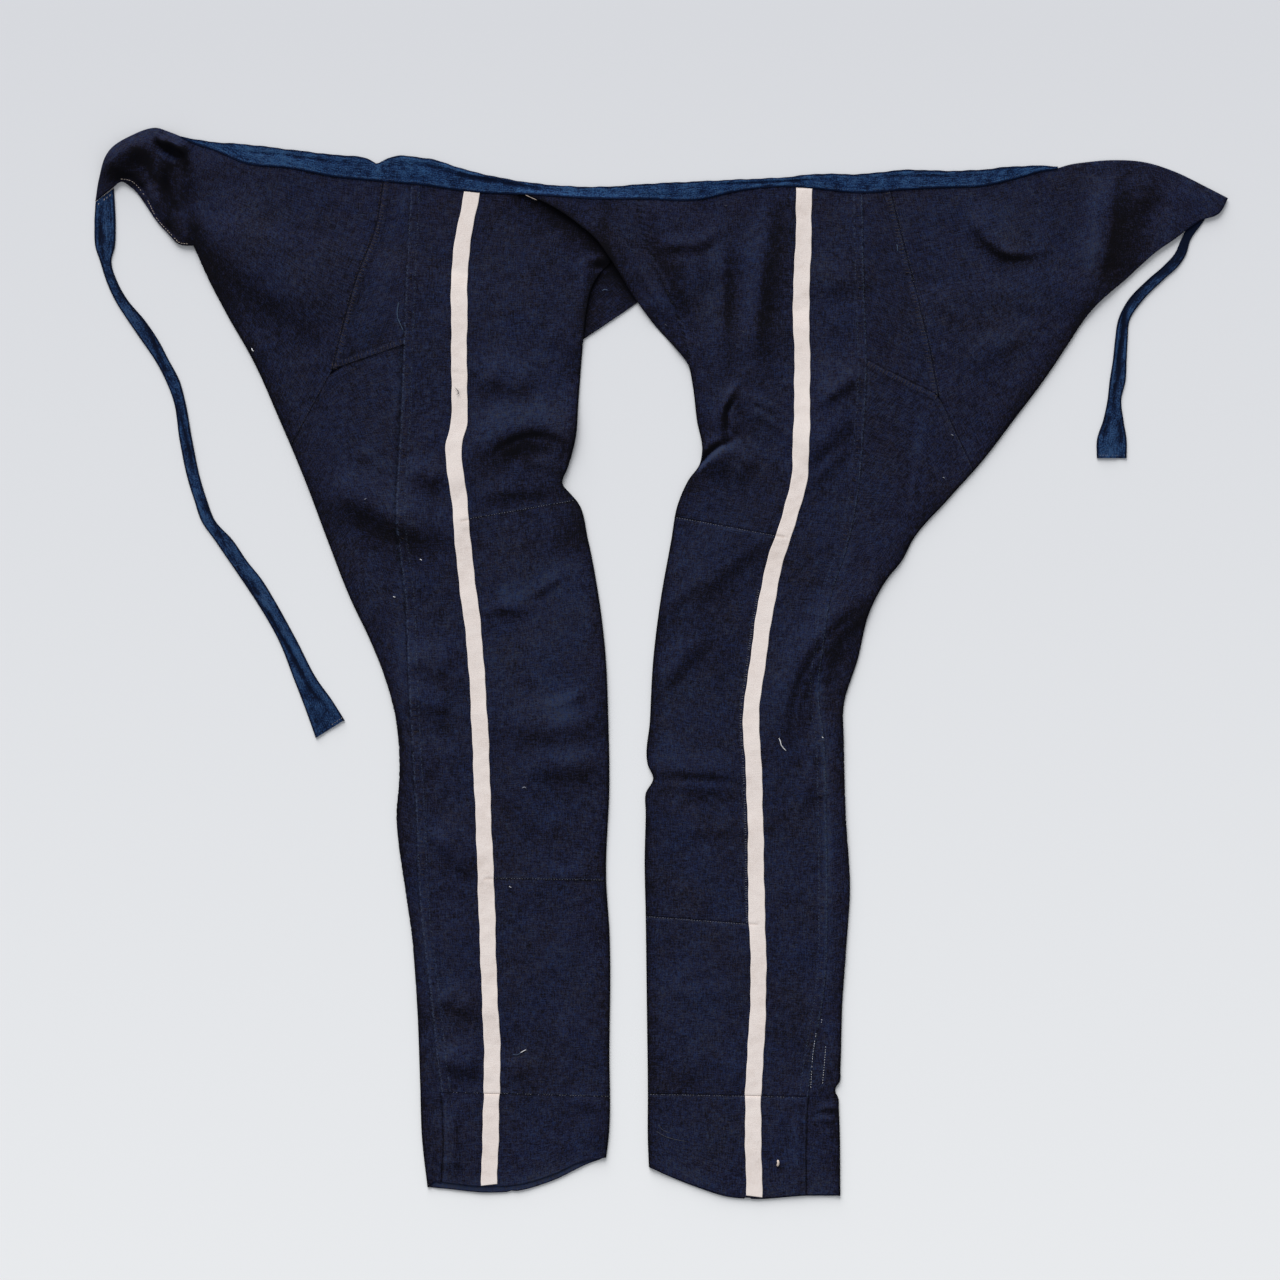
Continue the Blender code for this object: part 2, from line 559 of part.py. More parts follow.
def seat(half, supports):
    """Seat panel: from the gore to the end of the band, round the folded edge and under the front to the crotch."""
    rising = np.concatenate([spread([half.seat_low, half.gore_seam[-1]], SEAT_LOW_ROWS),
                             spread(half.gore_seam[::-1], ROWS["hip"])[1:]])
    rows, columns = len(rising) - 1, SEAT_COLUMNS[half.side]
    end_line = smooth(TURN_CREASE if half.side == "l" else POINT_LOW)
    fold_line = between(half.curves["outer"], half.seat_low[1], half.seat_end[1], columns, 1)
    if half.side == "l":
        top = between(BAND_CURVE, rising[-1, 0], TURN_TOP[0][0], columns, 0)
    else:
        past_band = np.concatenate([BAND_CURVE[:-1], smooth(POINT_TOP)])
        top = between(past_band, rising[-1, 0], POINT_TOP[-1][0], columns, 0)
    grid = patch(rising, spread(end_line, rows), low=fold_line, high=top)
    tops = {"seat": grid[-1].copy()}
    edge = grid[0].copy()
    base, strip = roll(edge, half.away("outer", edge), supports)
    grid[0] = base
    grid = pull(grid, ("first", "high"))
    strip[0, 0, :2] = grid[0, 0]
    grids = [raised(grid, supports), strip]
    if half.side == "l":
        turn = patch(spread(smooth(TURN_CREASE), rows), spread([TURN_LOW[-1], TURN_TOP[-1]], rows),
                     low=spread(smooth(TURN_LOW), END_COLUMNS), high=spread(smooth(TURN_TOP), END_COLUMNS))
        turn[:, 0] = grid[:, -1]
        grids.append(raised(pull(turn, ("last",)), supports))

    crotch, end = np.array(half.point("back", "crotch")), half.crotch_end
    under = patch(spread([base[0], crotch], UNDERLAY_ROWS), spread(half.free_edge, UNDERLAY_ROWS),
                  low=base, high=spread([crotch, end], columns))
    under[1:] = pull(under.copy(), ("first", "high"))[1:]
    under[0] = base
    grids.append(laid(under))
    cloth(f"seat_{half.side}", grids, "indigo")
    return tops, under[-2:, -1]


def crotch_piece(free_edge):
    """Piece behind the crossing, sewn to the free edge of the left seat panel."""
    along = free_edge[0] - free_edge[1]
    along /= np.linalg.norm(along)
    aside = np.array([-along[1], along[0]])
    aside *= SEAM_GAP * np.sign(aside[1])
    start = free_edge[1] + aside + along * CROTCH_START
    attached = spread([start, start + along * CROTCH_REACH], 2)
    low = smooth([start, *CROTCH_LOW[1:]])
    high = smooth([attached[-1], *CROTCH_HIGH[1:]])
    plan = patch(spread(low, CROTCH_COLUMNS), spread(high, CROTCH_COLUMNS), low=attached,
                 high=spread([low[-1], high[-1]], 2))
    cloth("crotch_l", [laid(plan)], "indigo")


def waistband(tops):
    """Band along the tops of all the panels, from one end of the band to the other."""
    low = np.concatenate(tops)
    low = low[(low[:, 0] >= BAND_LOW[0][0]) & (low[:, 0] <= BAND_LOW[-1][0])]
    low = np.unique(np.round(low, 4), axis=0)
    top_curve = smooth(BAND_TOP)
    high = np.column_stack([low[:, 0], np.interp(low[:, 0], top_curve[:, 0], top_curve[:, 1])])
    plan = pull(np.stack([low, (low + high) / 2, high]), ("low",))
    cloth("waistband", [laid(plan, BAND_WALL / 2)], "denim", BAND_WALL)


def ties():
    """The two ties, flat on the surface."""
    for side, sections in TIE_SECTIONS.items():
        rows = [((left, y), ((left + right) / 2, y), (right, y)) for y, left, right in sections]
        for ends, place in ((TIE_SEAM, 0), (TIE_END, len(rows) + 1)):
            if side in ends:
                left, right = np.array(ends[side])
                rows.insert(place, (left, (left + right) / 2, right))
        cloth(f"tie_{side}", [laid(np.array(rows, float), TIE_WALL / 2)], "tie", TIE_WALL)


def tie_root():
    """Outline of the stretch of the right tie that lies under the seat panel."""
    sections = TIE_SECTIONS["r"][:TIE_ROOT_SECTIONS]
    return np.array([(left, y) for y, left, _ in sections] + [(right, y) for y, _, right in sections[::-1]], float)


def crotch_outline():
    """Outline of the crotch piece, on which both fronts lie."""
    return np.concatenate([smooth(CROTCH_LOW), CROTCH_HIGH[::-1]])


def left_front_outline(half):
    """Outline of the left upper front, on which the right one lies."""
    stripe, edge = half.run("stripe", "knee", "waist"), half.run("inner", "knee", "waist")
    return np.concatenate([stripe, edge[::-1]])


for old in list(bpy.data.objects):
    bpy.data.objects.remove(old, do_unlink=True)
GARMENT = bpy.data.collections.new("momohiki_work_pants")
bpy.context.scene.collection.children.link(GARMENT)
MATERIALS = {name: material(name) for name in FINISHES}
BAND_CURVE = smooth(BAND_LOW)
CROSSING_START = LINES["r"]["inner"][0]

left, right = Half("l"), Half("r")
SUPPORTS = ((left.outline(), LAYER), (right.outline(), LAYER), (crotch_outline(), LAYER), (tie_root(), TIE_RISE))
band_tops = []
for half, crossing in ((left, None), (right, left_front_outline(left))):
    tops = front_panels(half, SUPPORTS)
    tops.update(inner_panels(half, SUPPORTS, crossing))
    seat_tops, free_end = seat(half, SUPPORTS)
    tops.update(seat_tops)
    back_leg(half, SUPPORTS)
    cuff(half, SUPPORTS)
    stripes(half, SUPPORTS)
    tops = np.concatenate(list(tops.values()))
    if half is left:
        crotch_piece(free_end)
        tops = tops[tops[:, 0] < CROSSING_START[0]]
    band_tops.append(tops)
waistband(band_tops)
ties()
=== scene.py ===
"""Momohiki work pants laid flat, front up: worn indigo cotton, denim-blue band and ties, pale stripes.

The tables are in millimetres, in the frame of the part: X to the right, Y towards the waistband, Z up from
the surface that the garment lies on. "l" and "r" are the halves at the left and right of the layout.
"""
import math

import bmesh
import bpy
import numpy as np
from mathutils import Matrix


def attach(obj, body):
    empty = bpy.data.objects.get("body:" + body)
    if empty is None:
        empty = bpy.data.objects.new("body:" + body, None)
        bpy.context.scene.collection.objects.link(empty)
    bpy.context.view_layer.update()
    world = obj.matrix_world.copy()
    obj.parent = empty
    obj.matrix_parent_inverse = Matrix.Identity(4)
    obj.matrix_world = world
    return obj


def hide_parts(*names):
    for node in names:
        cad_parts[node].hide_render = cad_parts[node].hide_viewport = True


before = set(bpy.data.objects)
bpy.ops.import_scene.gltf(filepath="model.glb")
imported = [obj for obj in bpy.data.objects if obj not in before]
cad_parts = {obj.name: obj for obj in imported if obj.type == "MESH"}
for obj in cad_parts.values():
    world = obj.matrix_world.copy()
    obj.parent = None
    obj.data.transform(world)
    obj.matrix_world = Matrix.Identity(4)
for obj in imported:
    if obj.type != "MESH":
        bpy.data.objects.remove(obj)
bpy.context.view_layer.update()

# Sizes of the cloth
MM = 0.001
WALL = 0.9                      # one layer of cloth
FLOOR_GAP = 0.05                # between the lowest cloth and the surface
FOOT = WALL / 2 + FLOOR_GAP     # middle of the layer that lies on the surface
SEAM_GAP = 0.12                 # between two pieces that are sewn together
LAYER = 2.0                     # rise of a panel over the layer under it
CROSSING = 2.5                  # further rise of the right front where it lies on the left one
TIE_RISE = 2.3                  # rise of the seat panel over the root of the right tie
TIE_ROOT_SECTIONS = 4           # sections of that tie that the panel covers
MARGIN = 14.0                   # how far past the layer under it a panel stays raised
RAMP = 25.0                     # way over which it then comes down to the surface again
FOLD_BULGE = 1.2                # how far the cloth rounds outwards at a folded edge
FOLD_INSET = FOLD_BULGE + WALL / 2
STRIPE_WIDTH = 15.0
STRIPE_TOP_GAP = 1.0
STRIPE_WANDER = ((9.0, 2.0, 0.25), (3.7, 1.0, 0.2), (23.0, 0.0, 0.2))    # of its edges: length, shift, size
BAND_WANDER = ((5.0, 0.0, 0.18), (2.3, 1.0, 0.15))                       # of its upper edge
TAPE_WALL = 0.6                 # the pale tape
TAPE_GAP = 0.12                 # between the tape and the cloth under it
TAPE_TOP = 5.2                  # height of the tape where it has a mark
BAND_HEIGHT = 2.1               # waistband, folded double
BAND_LEAST = 0.5                # least width
BAND_LAP = 1.0                  # how far it lies on the panels
BAND_REST = (0.7, 0.12)         # its upper and lower skin over the panels that it lies on
BAND_DROP = 5.0                 # way over which it comes down from them
BAND_LIP = 1.5                  # way over which its underside does
TIE_HEIGHT = 1.8                # ties, folded and pressed
HEM_PEEK = {"l": 6.0, "r": 1.2}             # how far the back of a cuff shows below its front
HEM_ENDS = {"inner": 30.0, "outer": 6.0}    # way from a folded edge over which it starts to show
HEM_RAMP = 30.0                 # way up the cuff over which that evens out
HEM_LIFT = 0.7                  # rise of the hem of the back
HEM_ROLL = 12.0                 # height of the part that rises
HEM_LIGHT_AND_WEAR = (0.7, 8.0)           # back hem painted paler, painted light where it shows from under the shade of the front, and wear: amount, height
HEM_SHADE_LINE = (0.9, 1.0)           # painted shade along its lowest line
CROTCH_START = 4.0              # from the crotch to the crotch piece, along its seam
CROTCH_REACH = 32.0             # length of that seam
CROTCH_SEAM = (0.35, 2.5)       # its rise and width
TUCK = 2.5                      # the left front ends this far below the band where the right one hides it
NORMAL_REACH = 3.0
MERGE = 0.00001
SEED = 7

# Rectangles in metres that some pieces are cut from, estimated. The rest are measured on their grids
SEAT_CUT = {"l": (0.52, 0.36), "r": (0.56, 0.36)}
BAND_CUT = (0.04, 0.81)
TIE_CUT = {"l": (0.034, 0.565), "r": (0.03, 0.27)}

# Fineness of the meshes
STEP = 2.1                      # between points of the upper layer
UNDER_STEP = 5.0                # across the layer that lies on the surface
STRIP_STEPS = (0.75, 1.1)       # across the band and the ties, and along the ties
CLOSE = (0.0, 0.8, 1.7, 3.2)    # distances of the points next to a seam
CLOSE_TAPE = (0.0, 0.7, 1.5)
ROUND = (0.0, 0.12, 0.45, 1.0)  # those at the rounded side of a strip, as shares of its radius
FOLD_STEPS = 9                  # faces round a folded edge
MAP_EXTENT = np.array([570.0, 540.0])
MAP_STEP = 1.5                  # between points of the relief map
SUPPORT_STEP = 4.0              # between those of the maps of what lies under the upper layer
STITCH_RINGS = 4
THREAD_SIDES = 4
CORNER = 50.0                   # degrees from which an edge of a strip stays sharp

# Levels up each leg: height in Y at which every line down the leg meets a cross seam
LEVEL_COLUMNS = ("outer", "side", "stripe", "inner", "back")
LEVELS = {
    "l": {
        "hem": (-492, -493, -497, -464, -495),
        "ankle": (-401, -403, -404, -407, -405),
        "calf": (-204, -204, -202, -204, -204),
        "knee": (116, 134, 134, 153, 144),
        "crotch": (204, 299, 299, 299, 272),
        "waist": (392, 452, 444, 437, 272),
    },
    "r": {
        "hem": (-500, -500, -503, -473, -500),
        "ankle": (-408, -407, -406, -404, -405),
        "calf": (-246, -246, -245, -237, -240),
        "knee": (97, 116, 119, 138, 135),
        "crotch": (181, 285, 285, 280, 255),
        "waist": (338, 443, 448, 441, 255),
    },
}
STRETCHES = (("hem", "ankle"), ("ankle", "calf"), ("calf", "knee"), ("knee", "crotch"), ("crotch", "waist"))

# Lines down each leg: the folded outer edge, the side seam, the stripe, the inner edge, the back seam
LINES = {
    "l": {
        "outer": ((-438, 392), (-424, 360), (-408, 329), (-383, 285), (-358, 229), (-334, 172),
            (-313, 116), (-291, 60), (-273, 22), (-258, -16), (-248, -53), (-243, -81), (-248, -147),
            (-241, -204), (-234, -251), (-229, -316), (-226, -392), (-224, -448), (-219, -492)),
        "side": ((-235, 452), (-240, 342), (-244, 229), (-248, 135), (-240, 60), (-236, -34), (-233, -91),
            (-230, -138), (-226, -229), (-216, -316), (-209, -381), (-206, -404), (-204, -448),
            (-206, -493)),
        "stripe": ((-177, 444), (-188, 379), (-189, 323), (-189, 257), (-189, 226), (-194.5, 203),
            (-193, 184), (-189.5, 158), (-184, 97), (-175, 22), (-170, -53), (-167, -128), (-164, -204),
            (-161, -298), (-158, -373), (-159, -420), (-161, -497)),
        "inner": ((-50, 437), (-52, 412), (-52, 394), (-47, 378), (-56, 368), (-64, 355), (-70, 330),
            (-73, 299), (-77, 248), (-80, 210), (-87, 184), (-92, 169), (-84, 159), (-78, 152), (-68, 116),
            (-59, 69), (-52, 13), (-49, -53), (-48, -110), (-51, -204), (-48, -251), (-48, -363),
            (-49, -448), (-51, -464)),
        "back": ((-92, 272), (-109, 135), (-130, -34), (-140, -204), (-140, -404), (-140, -495)),
    },
    "r": {
        "outer": ((405, 338), (387, 307), (360, 266), (332, 229), (303, 191), (270, 154), (237, 116),
            (227, 97), (212, 78), (197, 50), (185, 3), (172, -39), (172, -81), (174, -147), (178, -213),
            (175, -260), (171, -316), (169, -380), (168.3, -393), (164.4, -399), (164.2, -402),
            (167, -408), (167.6, -418), (169, -500)),
        "side": ((190, 443), (192, 342), (194, 285), (191, 219), (185, 154), (175, 107), (161, 65),
            (154, 22), (149, -29), (154, -72), (156, -138), (157, -222), (155, -298), (145, -363),
            (139, -407), (137, -448), (137, -500)),
        "stripe": ((135, 448), (134, 389), (132, 342), (133, 285), (132, 210), (130, 172), (122, 140),
            (108, 97), (100, 60), (94, 22), (89, -16), (85, -44), (87, -91), (89, -147), (90, -222),
            (92, -298), (90, -354), (87, -404), (87, -448), (88, -503)),
        "inner": ((-134, 441), (-117, 436), (-94, 424), (-76, 411), (-61, 398), (-47, 379), (-23, 341),
            (-5, 317), (13, 297), (26, 280), (30, 262), (34, 229), (39, 199), (37, 188), (26, 172),
            (16, 149), (10, 116), (0, 60), (-7, 3), (-10, -53), (-12, -95), (-7, -108), (-14, -122),
            (-14, -140), (-15, -185), (-14, -237), (-13, -316), (-12, -404), (-12, -448), (-11, -473)),
        "back": ((48, 255), (63, 135), (75, -34), (82, -222), (82, -404), (82, -500)),
    },
}
GORE_SEAM = {
    "l": ((-260, 454), (-267, 412), (-286, 360), (-299, 313), (-308, 276)),
    "r": ((216, 444), (230, 389), (242, 342), (253, 295), (261, 252)),
}
FACING_SEAM = ((-23, 436), (-18, 421), (-14, 398), (-4, 372), (3, 357), (15, 330), (22, 308), (28, 283))
HEM = {
    "l": ((-219, -492), (-206, -493), (-161, -497), (-132, -495), (-102, -486), (-66, -469), (-51, -464)),
    "r": ((169, -500), (137, -500), (88, -503), (63, -501), (37, -493), (4, -480), (-11, -473)),
}

# Waistband: lower seam, upper edge and the tips that the seat panels hide
BAND_LOW = ((-435, 488), (-419, 483), (-391, 471), (-348, 466), (-306, 458), (-264, 454), (-221, 450),
            (-179, 444), (-123, 441), (-57, 437), (-10, 437), (32, 436), (75, 445), (117, 449), (145, 447),
            (188, 443), (230, 446), (272, 448), (300, 449), (329, 455), (357, 463))
BAND_TOP = ((-435, 492), (-419, 490), (-391, 488), (-348, 483), (-306, 478), (-276, 474.5), (-270, 471.5),
            (-267, 470), (-263, 471.5), (-256, 475), (-221, 475), (-179, 463), (-123, 452), (-57, 448),
            (-10, 451), (32, 453), (75, 455), (117, 457), (145, 460), (188, 460), (230, 464), (272, 463),
            (300, 464), (329, 467), (357, 468))
BAND_TIPS = ((-450.0, 494.8), (375.0, 467.0))

# Ends of the seat panels beyond the band
TURN_CREASE = ((-438, 392), (-449, 415), (-454, 445), (-449, 470), (-435, 488))
TURN_TOP = ((-435, 488), (-459, 498), (-474, 503), (-499, 494), (-515, 483), (-527, 456), (-531, 434))
TURN_LOW = ((-438, 392), (-453, 394), (-461, 402), (-473, 415), (-487, 440), (-499, 452), (-506, 453),
            (-514, 447))
POINT_TOP = ((357, 463), (371, 465), (385, 469), (399, 471), (427, 473), (455, 471), (484, 462),
             (512, 448), (533, 437))
POINT_LOW = ((405, 338), (420, 349), (431, 356), (450, 373), (466, 387), (482, 398), (507, 416),
             (525, 423), (533, 437))
FREE_EDGE = {
    "l": ((-438, 392), (-339, 372), (-198, 336)),
    "r": ((405, 338), (282, 328), (150, 302)),
}

# Crotch piece that shows between the two fronts
CROTCH_LOW = ((-73, 299), (-22, 339), (37, 383))
CROTCH_HIGH = ((-106, 313), (-100, 350), (-86, 382), (-60, 398), (-20, 404), (22, 404))

# Ties as sections (y, left edge, right edge), and their slanted ends
TIE_SECTIONS = {
    "l": ((412, -532, -512), (391, -531, -513), (379, -527, -516), (360, -521, -511), (342, -513, -501),
          (323, -501, -485), (304, -488, -472), (285, -475, -462), (266, -465, -452), (248, -458, -447),
          (210, -452, -440), (172, -444, -432), (153, -438, -426), (135, -432, -419), (116, -419, -402),
          (97, -406, -389), (78, -393, -374), (60, -381, -363), (22, -359, -342), (-16, -344, -322),
          (-34, -337, -309), (-53, -330, -297)),
    "r": ((424, 504, 516), (415, 498, 510), (398, 489, 498), (385, 483, 494), (375, 474, 488),
          (360, 457, 472), (341, 439, 453), (323, 430, 441), (304, 427, 439), (285, 425, 438),
          (266, 422, 437), (248, 420, 433), (229, 416, 435), (210, 410, 438), (193, 410, 438)),
}
TIE_SEAM = {"l": ((-531, 433.5), (-513.6, 446.5))}
TIE_END = {"l": ((-324, -70), (-297, -53))}

# Folds and creases of the upper layer: place, height, width of the slope at the left hand of the route's
# direction, width of the other slope, route. A negative height is a trough
FOLDS = (
    ("turned end, swell", 3.2, 26, 26, ((-534, 445), (-510, 468), (-480, 475), (-454, 458), (-446, 426))),
    ("left seat swell", 3.4, 40, 24, ((-437, 456), (-422, 415), (-386, 377), (-339, 342), (-303, 306))),
    ("left hip, over the thigh", 3.0, 24, 14, ((-324, 171), (-286, 156), (-251, 139), (-219, 125),
     (-195, 126))),
    ("left hip, by the stripe", 1.5, 12, 10, ((-241, 182), (-222, 178), (-200, 171))),
    ("left thigh, upper", 2.2, 22, 12, ((-175, 272), (-150, 267), (-116, 250))),
    ("left thigh, arc", 3.0, 22, 17, ((-179, 178), (-166, 199), (-143, 216), (-119, 223), (-96, 219),
     (-81, 206), (-64, 186))),
    ("left thigh, over the notch", 0.8, 16, 22, ((-162, 167), (-134, 181), (-110, 186), (-96, 180),
     (-88, 167), (-83, 148))),
    ("left side, upper", 1.8, 18, 11, ((-240, 11), (-193, -14))),
    ("left side, lower", 1.6, 18, 11, ((-242, -29), (-193, -44))),
    ("left knee, upper", 1.8, 24, 16, ((-155, -56), (-123, -60), (-89, -61), (-57, -51))),
    ("left knee, lower", 1.7, 18, 14, ((-136, -93), (-94, -96), (-53, -90))),
    ("left calf, outer", 1.6, 16, 10, ((-217, -150), (-193, -176), (-172, -200))),
    ("left shin, side", 1.5, 14, 8, ((-213, -307), (-193, -319), (-169, -328))),
    ("left ankle, outer", 1.9, 16, 9, ((-211, -365), (-192, -375), (-168, -386))),
    ("right pinch, upper", 1.9, 14, 9, ((75, 266), (65, 248), (60, 229), (65, 206))),
    ("right pinch, lower", 2.2, 12, 16, ((37, 184), (58, 193), (78, 189), (94, 178))),
    ("right thigh, beside the stripe", 2.4, 22, 12, ((103, 431), (96, 377), (91, 323), (89, 274))),
    ("right thigh, inner", 1.7, 16, 12, ((62, 402), (60, 355), (61, 295))),
    ("right side, over the knee", 1.6, 26, 18, ((127, 189), (156, 219), (182, 250))),
    ("right side, middle", 1.5, 20, 12, ((142, 246), (168, 262), (188, 278))),
    ("right side, upper", 1.3, 20, 12, ((146, 350), (170, 360), (190, 364))),
    ("right knee, across", 0.9, 24, 22, ((16, 50), (35, 78), (62, 103), (99, 129))),
    ("right knee, lower", 1.3, 14, 9, ((-2, -25), (18, 0), (41, 31))),
    ("right shin, across", 1.1, 14, 8, ((-10, -103), (28, -102), (77, -105))),
    ("right side, drape over the leg", 2.3, 13, 24, ((218, 78), (189, 56), (165, 35), (145, 15), (130, -8),
     (121, -36), (113, -72), (109, -100))),
    ("right seat, fold of the end", 3.0, 34, 18, ((425, 466), (423, 415), (415, 374), (406, 345))),
    ("right seat, crease", 1.6, 18, 9, ((288, 430), (302, 406), (322, 389), (351, 387))),
    ("turned end, roll", 4.5, 12, 14, ((-522, 452), (-512, 474), (-494, 484), (-476, 489))),
    ("turned end, lip", 2.6, 12, 9, ((-484, 452), (-468, 422), (-454, 405))),
    ("turned end, pocket", 3.8, 8, 8, ((-470, 496), (-455, 488), (-446, 475))),
)
CREASES = (
    ("left wing, lower slope", -1.0, 20, 20, ((-431, 377), (-386, 336), (-333, 304))),
    ("left hip, over the gore", 0.8, 9, 5, ((-285, 201), (-273, 184))),
    ("left hip, under the gore", -0.7, 3, 3, ((-287, 202), (-280, 193), (-274, 184))),
    ("left thigh, arc line", -0.8, 4, 4, ((-164, 191), (-145, 205), (-123, 213), (-102, 209), (-89, 199))),
    ("left thigh, line of the notch", 0.5, 6, 4, ((-132, 186), (-109, 188), (-96, 182), (-89, 170))),
    ("left thigh, below", 0.8, 9, 6, ((-175, 157), (-136, 161), (-94, 163))),
    ("left side, short", 0.7, 7, 5, ((-230, -76), (-212, -108))),
    ("left calf, line", 0.8, 6, 4, ((-222, -152), (-198, -179), (-174, -205))),
    ("left knee, short line", 0.7, 7, 5, ((-112, -42), (-88, -36), (-66, -26))),
    ("left calf, faint line", 0.6, 6, 4, ((-123, 62), (-108, 71), (-91, 83))),
    ("left calf, across", 0.8, 8, 5, ((-162, 50), (-145, 52), (-125, 51))),
    ("left calf, below the seam", 0.7, 8, 5, ((-106, -196), (-86, -199), (-63, -200))),
    ("left calf, faint", 0.4, 7, 5, ((-137, -243), (-123, -251), (-110, -266))),
    ("left shin, thin line", 0.9, 5, 3, ((-94, -324), (-89, -348), (-83, -365), (-75, -380))),
    ("left shin, patch", 0.9, 8, 6, ((-143, -369), (-130, -393))),
    ("left cuff", 0.6, 8, 5, ((-84, -410), (-68, -414), (-52, -421))),
    ("left cuff, soft fold", 0.8, 5, 6, ((-195, -414), (-194, -448), (-192, -484))),
    ("left cuff, across", 0.5, 4, 4, ((-207, -465), (-198, -469), (-187, -467))),
    ("left front, edge crease", 1.0, 8, 5, ((-73, 398), (-70, 377), (-71, 356), (-73, 328))),
    ("left front, pinch", 1.2, 5, 4, ((-66, 378), (-57, 380), (-47, 376))),
    ("left front, below the pinch", -1.0, 4, 3, ((-63, 372), (-55, 372), (-48, 373))),
    ("left front, across", 0.7, 12, 8, ((-113, 318), (-94, 303), (-80, 281))),
    ("right pinch, crinkle", 1.1, 3, 3, ((73, 263), (66, 251), (60, 238), (61, 225))),
    ("right pinch, crevice", -2.0, 3, 3, ((68, 248), (63, 236), (63, 223), (69, 212))),
    ("right pinch, arc", -1.6, 3, 3, ((60, 221), (64, 204), (71, 189), (80, 178))),
    ("right pinch, ray one", 0.9, 7, 4, ((77, 250), (92, 246), (109, 233))),
    ("right pinch, ray two", 0.9, 7, 5, ((78, 236), (97, 231), (118, 214))),
    ("right notch, overlap", -2.4, 3.5, 2.2, ((31, 180), (48, 198), (56, 204), (64, 207))),
    ("right notch, upper cloth", 1.0, 8, 4, ((31, 186), (43, 198), (54, 207), (65, 213))),
    ("right notch, lower cloth", 0.8, 3, 12, ((33, 176), (45, 189), (56, 199), (67, 203))),
    ("right thigh, trough beside the stripe", -0.9, 9, 9, ((112, 423), (107, 351), (101, 289))),
    ("right thigh, trough inside", -0.8, 9, 9, ((67, 398), (67, 342), (70, 295))),
    ("right front, ridge by the band", 1.0, 8, 6, ((-8, 392), (15, 392), (37, 394), (60, 415))),
    ("right front, under the ridge", -0.4, 5, 6, ((-6, 386), (16, 387), (39, 388), (58, 402))),
    ("right front, fan one", 0.7, 7, 6, ((0, 432), (8, 396), (15, 351))),
    ("right front, fan two", 0.6, 7, 6, ((24, 426), (34, 389), (39, 346))),
    ("right front, fan three", 0.6, 6, 6, ((37, 342), (52, 304), (58, 266))),
    ("right front, facing", -0.6, 3, 3, ((-19, 387), (-4, 359), (9, 334), (22, 302))),
    ("right front, facing streak", 0.9, 2.5, 2.5, ((-29, 389), (-15, 363), (0, 337), (16, 304))),
    ("right front, facing streak, lower", 0.8, 2.5, 2.5, ((-36, 394), (-19, 364), (-4, 338), (11, 310))),
    ("right side, knee line", 0.6, 10, 7, ((131, 184), (159, 212), (189, 238))),
    ("right side, knee second", 0.6, 6, 5, ((135, 161), (159, 186), (180, 204))),
    ("right side, middle line", 0.7, 8, 5, ((147, 244), (168, 258), (188, 272))),
    ("right knee, line one", 0.6, 9, 6, ((30, 54), (54, 82), (80, 103), (107, 124))),
    ("right knee, line two", 0.7, 8, 6, ((7, 48), (20, 65), (37, 80))),
    ("right shin, notch", -0.4, 4, 5, ((-8, -108), (3, -107), (28, -108), (75, -110))),
    ("right shin, under the notch", 0.8, 5, 7, ((-4, -115), (28, -115), (71, -119))),
    ("right drape, dark line", -1.0, 3.5, 5, ((203, 62), (176, 41), (157, 24), (143, 5), (133, -13),
     (126, -36), (122, -63), (119, -81))),
    ("right drape, by the seam", 0.9, 6, 4, ((163, 22), (157, 1), (157, -25))),
    ("right drape, lower", 0.7, 6, 6, ((148, -57), (142, -100), (137, -140))),
    ("right calf, short", 0.8, 6, 4, ((143, -106), (148, -118), (154, -130))),
    ("right leg, faint line", 0.5, 9, 7, ((20, -150), (45, -158), (76, -152))),
    ("right shin, faint line", 0.5, 9, 7, ((0, -300), (30, -312), (70, -306))),
    ("right cuff, soft fold", 0.8, 4, 5, ((129, -414), (130, -453), (130, -493))),
    ("right cuff, across", 0.7, 3, 3, ((146, -420), (156, -417), (167, -419))),
    ("right cuff, across, lower", 0.7, 3, 3, ((145, -430), (156, -428), (167, -431))),
    ("right seat, crease line", 1.3, 7, 3, ((282, 439), (289, 423), (298, 406), (310, 392), (325, 384),
     (360, 386))),
    ("right seat, short", 0.7, 8, 5, ((259, 348), (270, 333), (284, 318))),
    ("right seat, patch", 0.9, 12, 9, ((282, 282), (318, 298), (350, 314))),
    ("right seat, end line", 1.2, 12, 8, ((411, 462), (412, 410), (407, 356))),
    ("right seat, end blot", 0.9, 9, 8, ((449, 460), (454, 445), (452, 424))),
    ("right gore, line", -1.0, 4, 4, ((248, 251), (243, 219), (235, 183), (227, 146))),
    ("turned end, pocket edge", 3.4, 4, 2.2, ((-472, 502), (-469, 491), (-455, 485), (-448, 475),
     (-449, 466))),
    ("turned end, pocket floor", -3.2, 4, 4, ((-474, 495), (-468, 483), (-459, 475), (-455, 466))),
    ("turned end, crease", 1.8, 6, 4, ((-447, 466), (-449, 445), (-444, 420), (-436, 396))),
    ("turned end, trough", -2.4, 6, 6, ((-458, 471), (-462, 454), (-458, 430), (-450, 409))),
    ("turned end, arch", 1.4, 7, 4, ((-514, 466), (-504, 462), (-485, 450), (-469, 428), (-455, 408))),
    ("turned end, arch groove", -1.6, 3, 3, ((-510, 453), (-499, 457), (-486, 446), (-477, 429),
     (-466, 411), (-452, 400))),
)

# What lifts the free edge of the right front where it crosses the left one: height, width, route
CROSSING_LIFT = (2.6, 16.0, ((-134, 441), (-117, 436), (-94, 424), (-76, 411), (-61, 398), (-47, 379),
                 (-22, 341)))

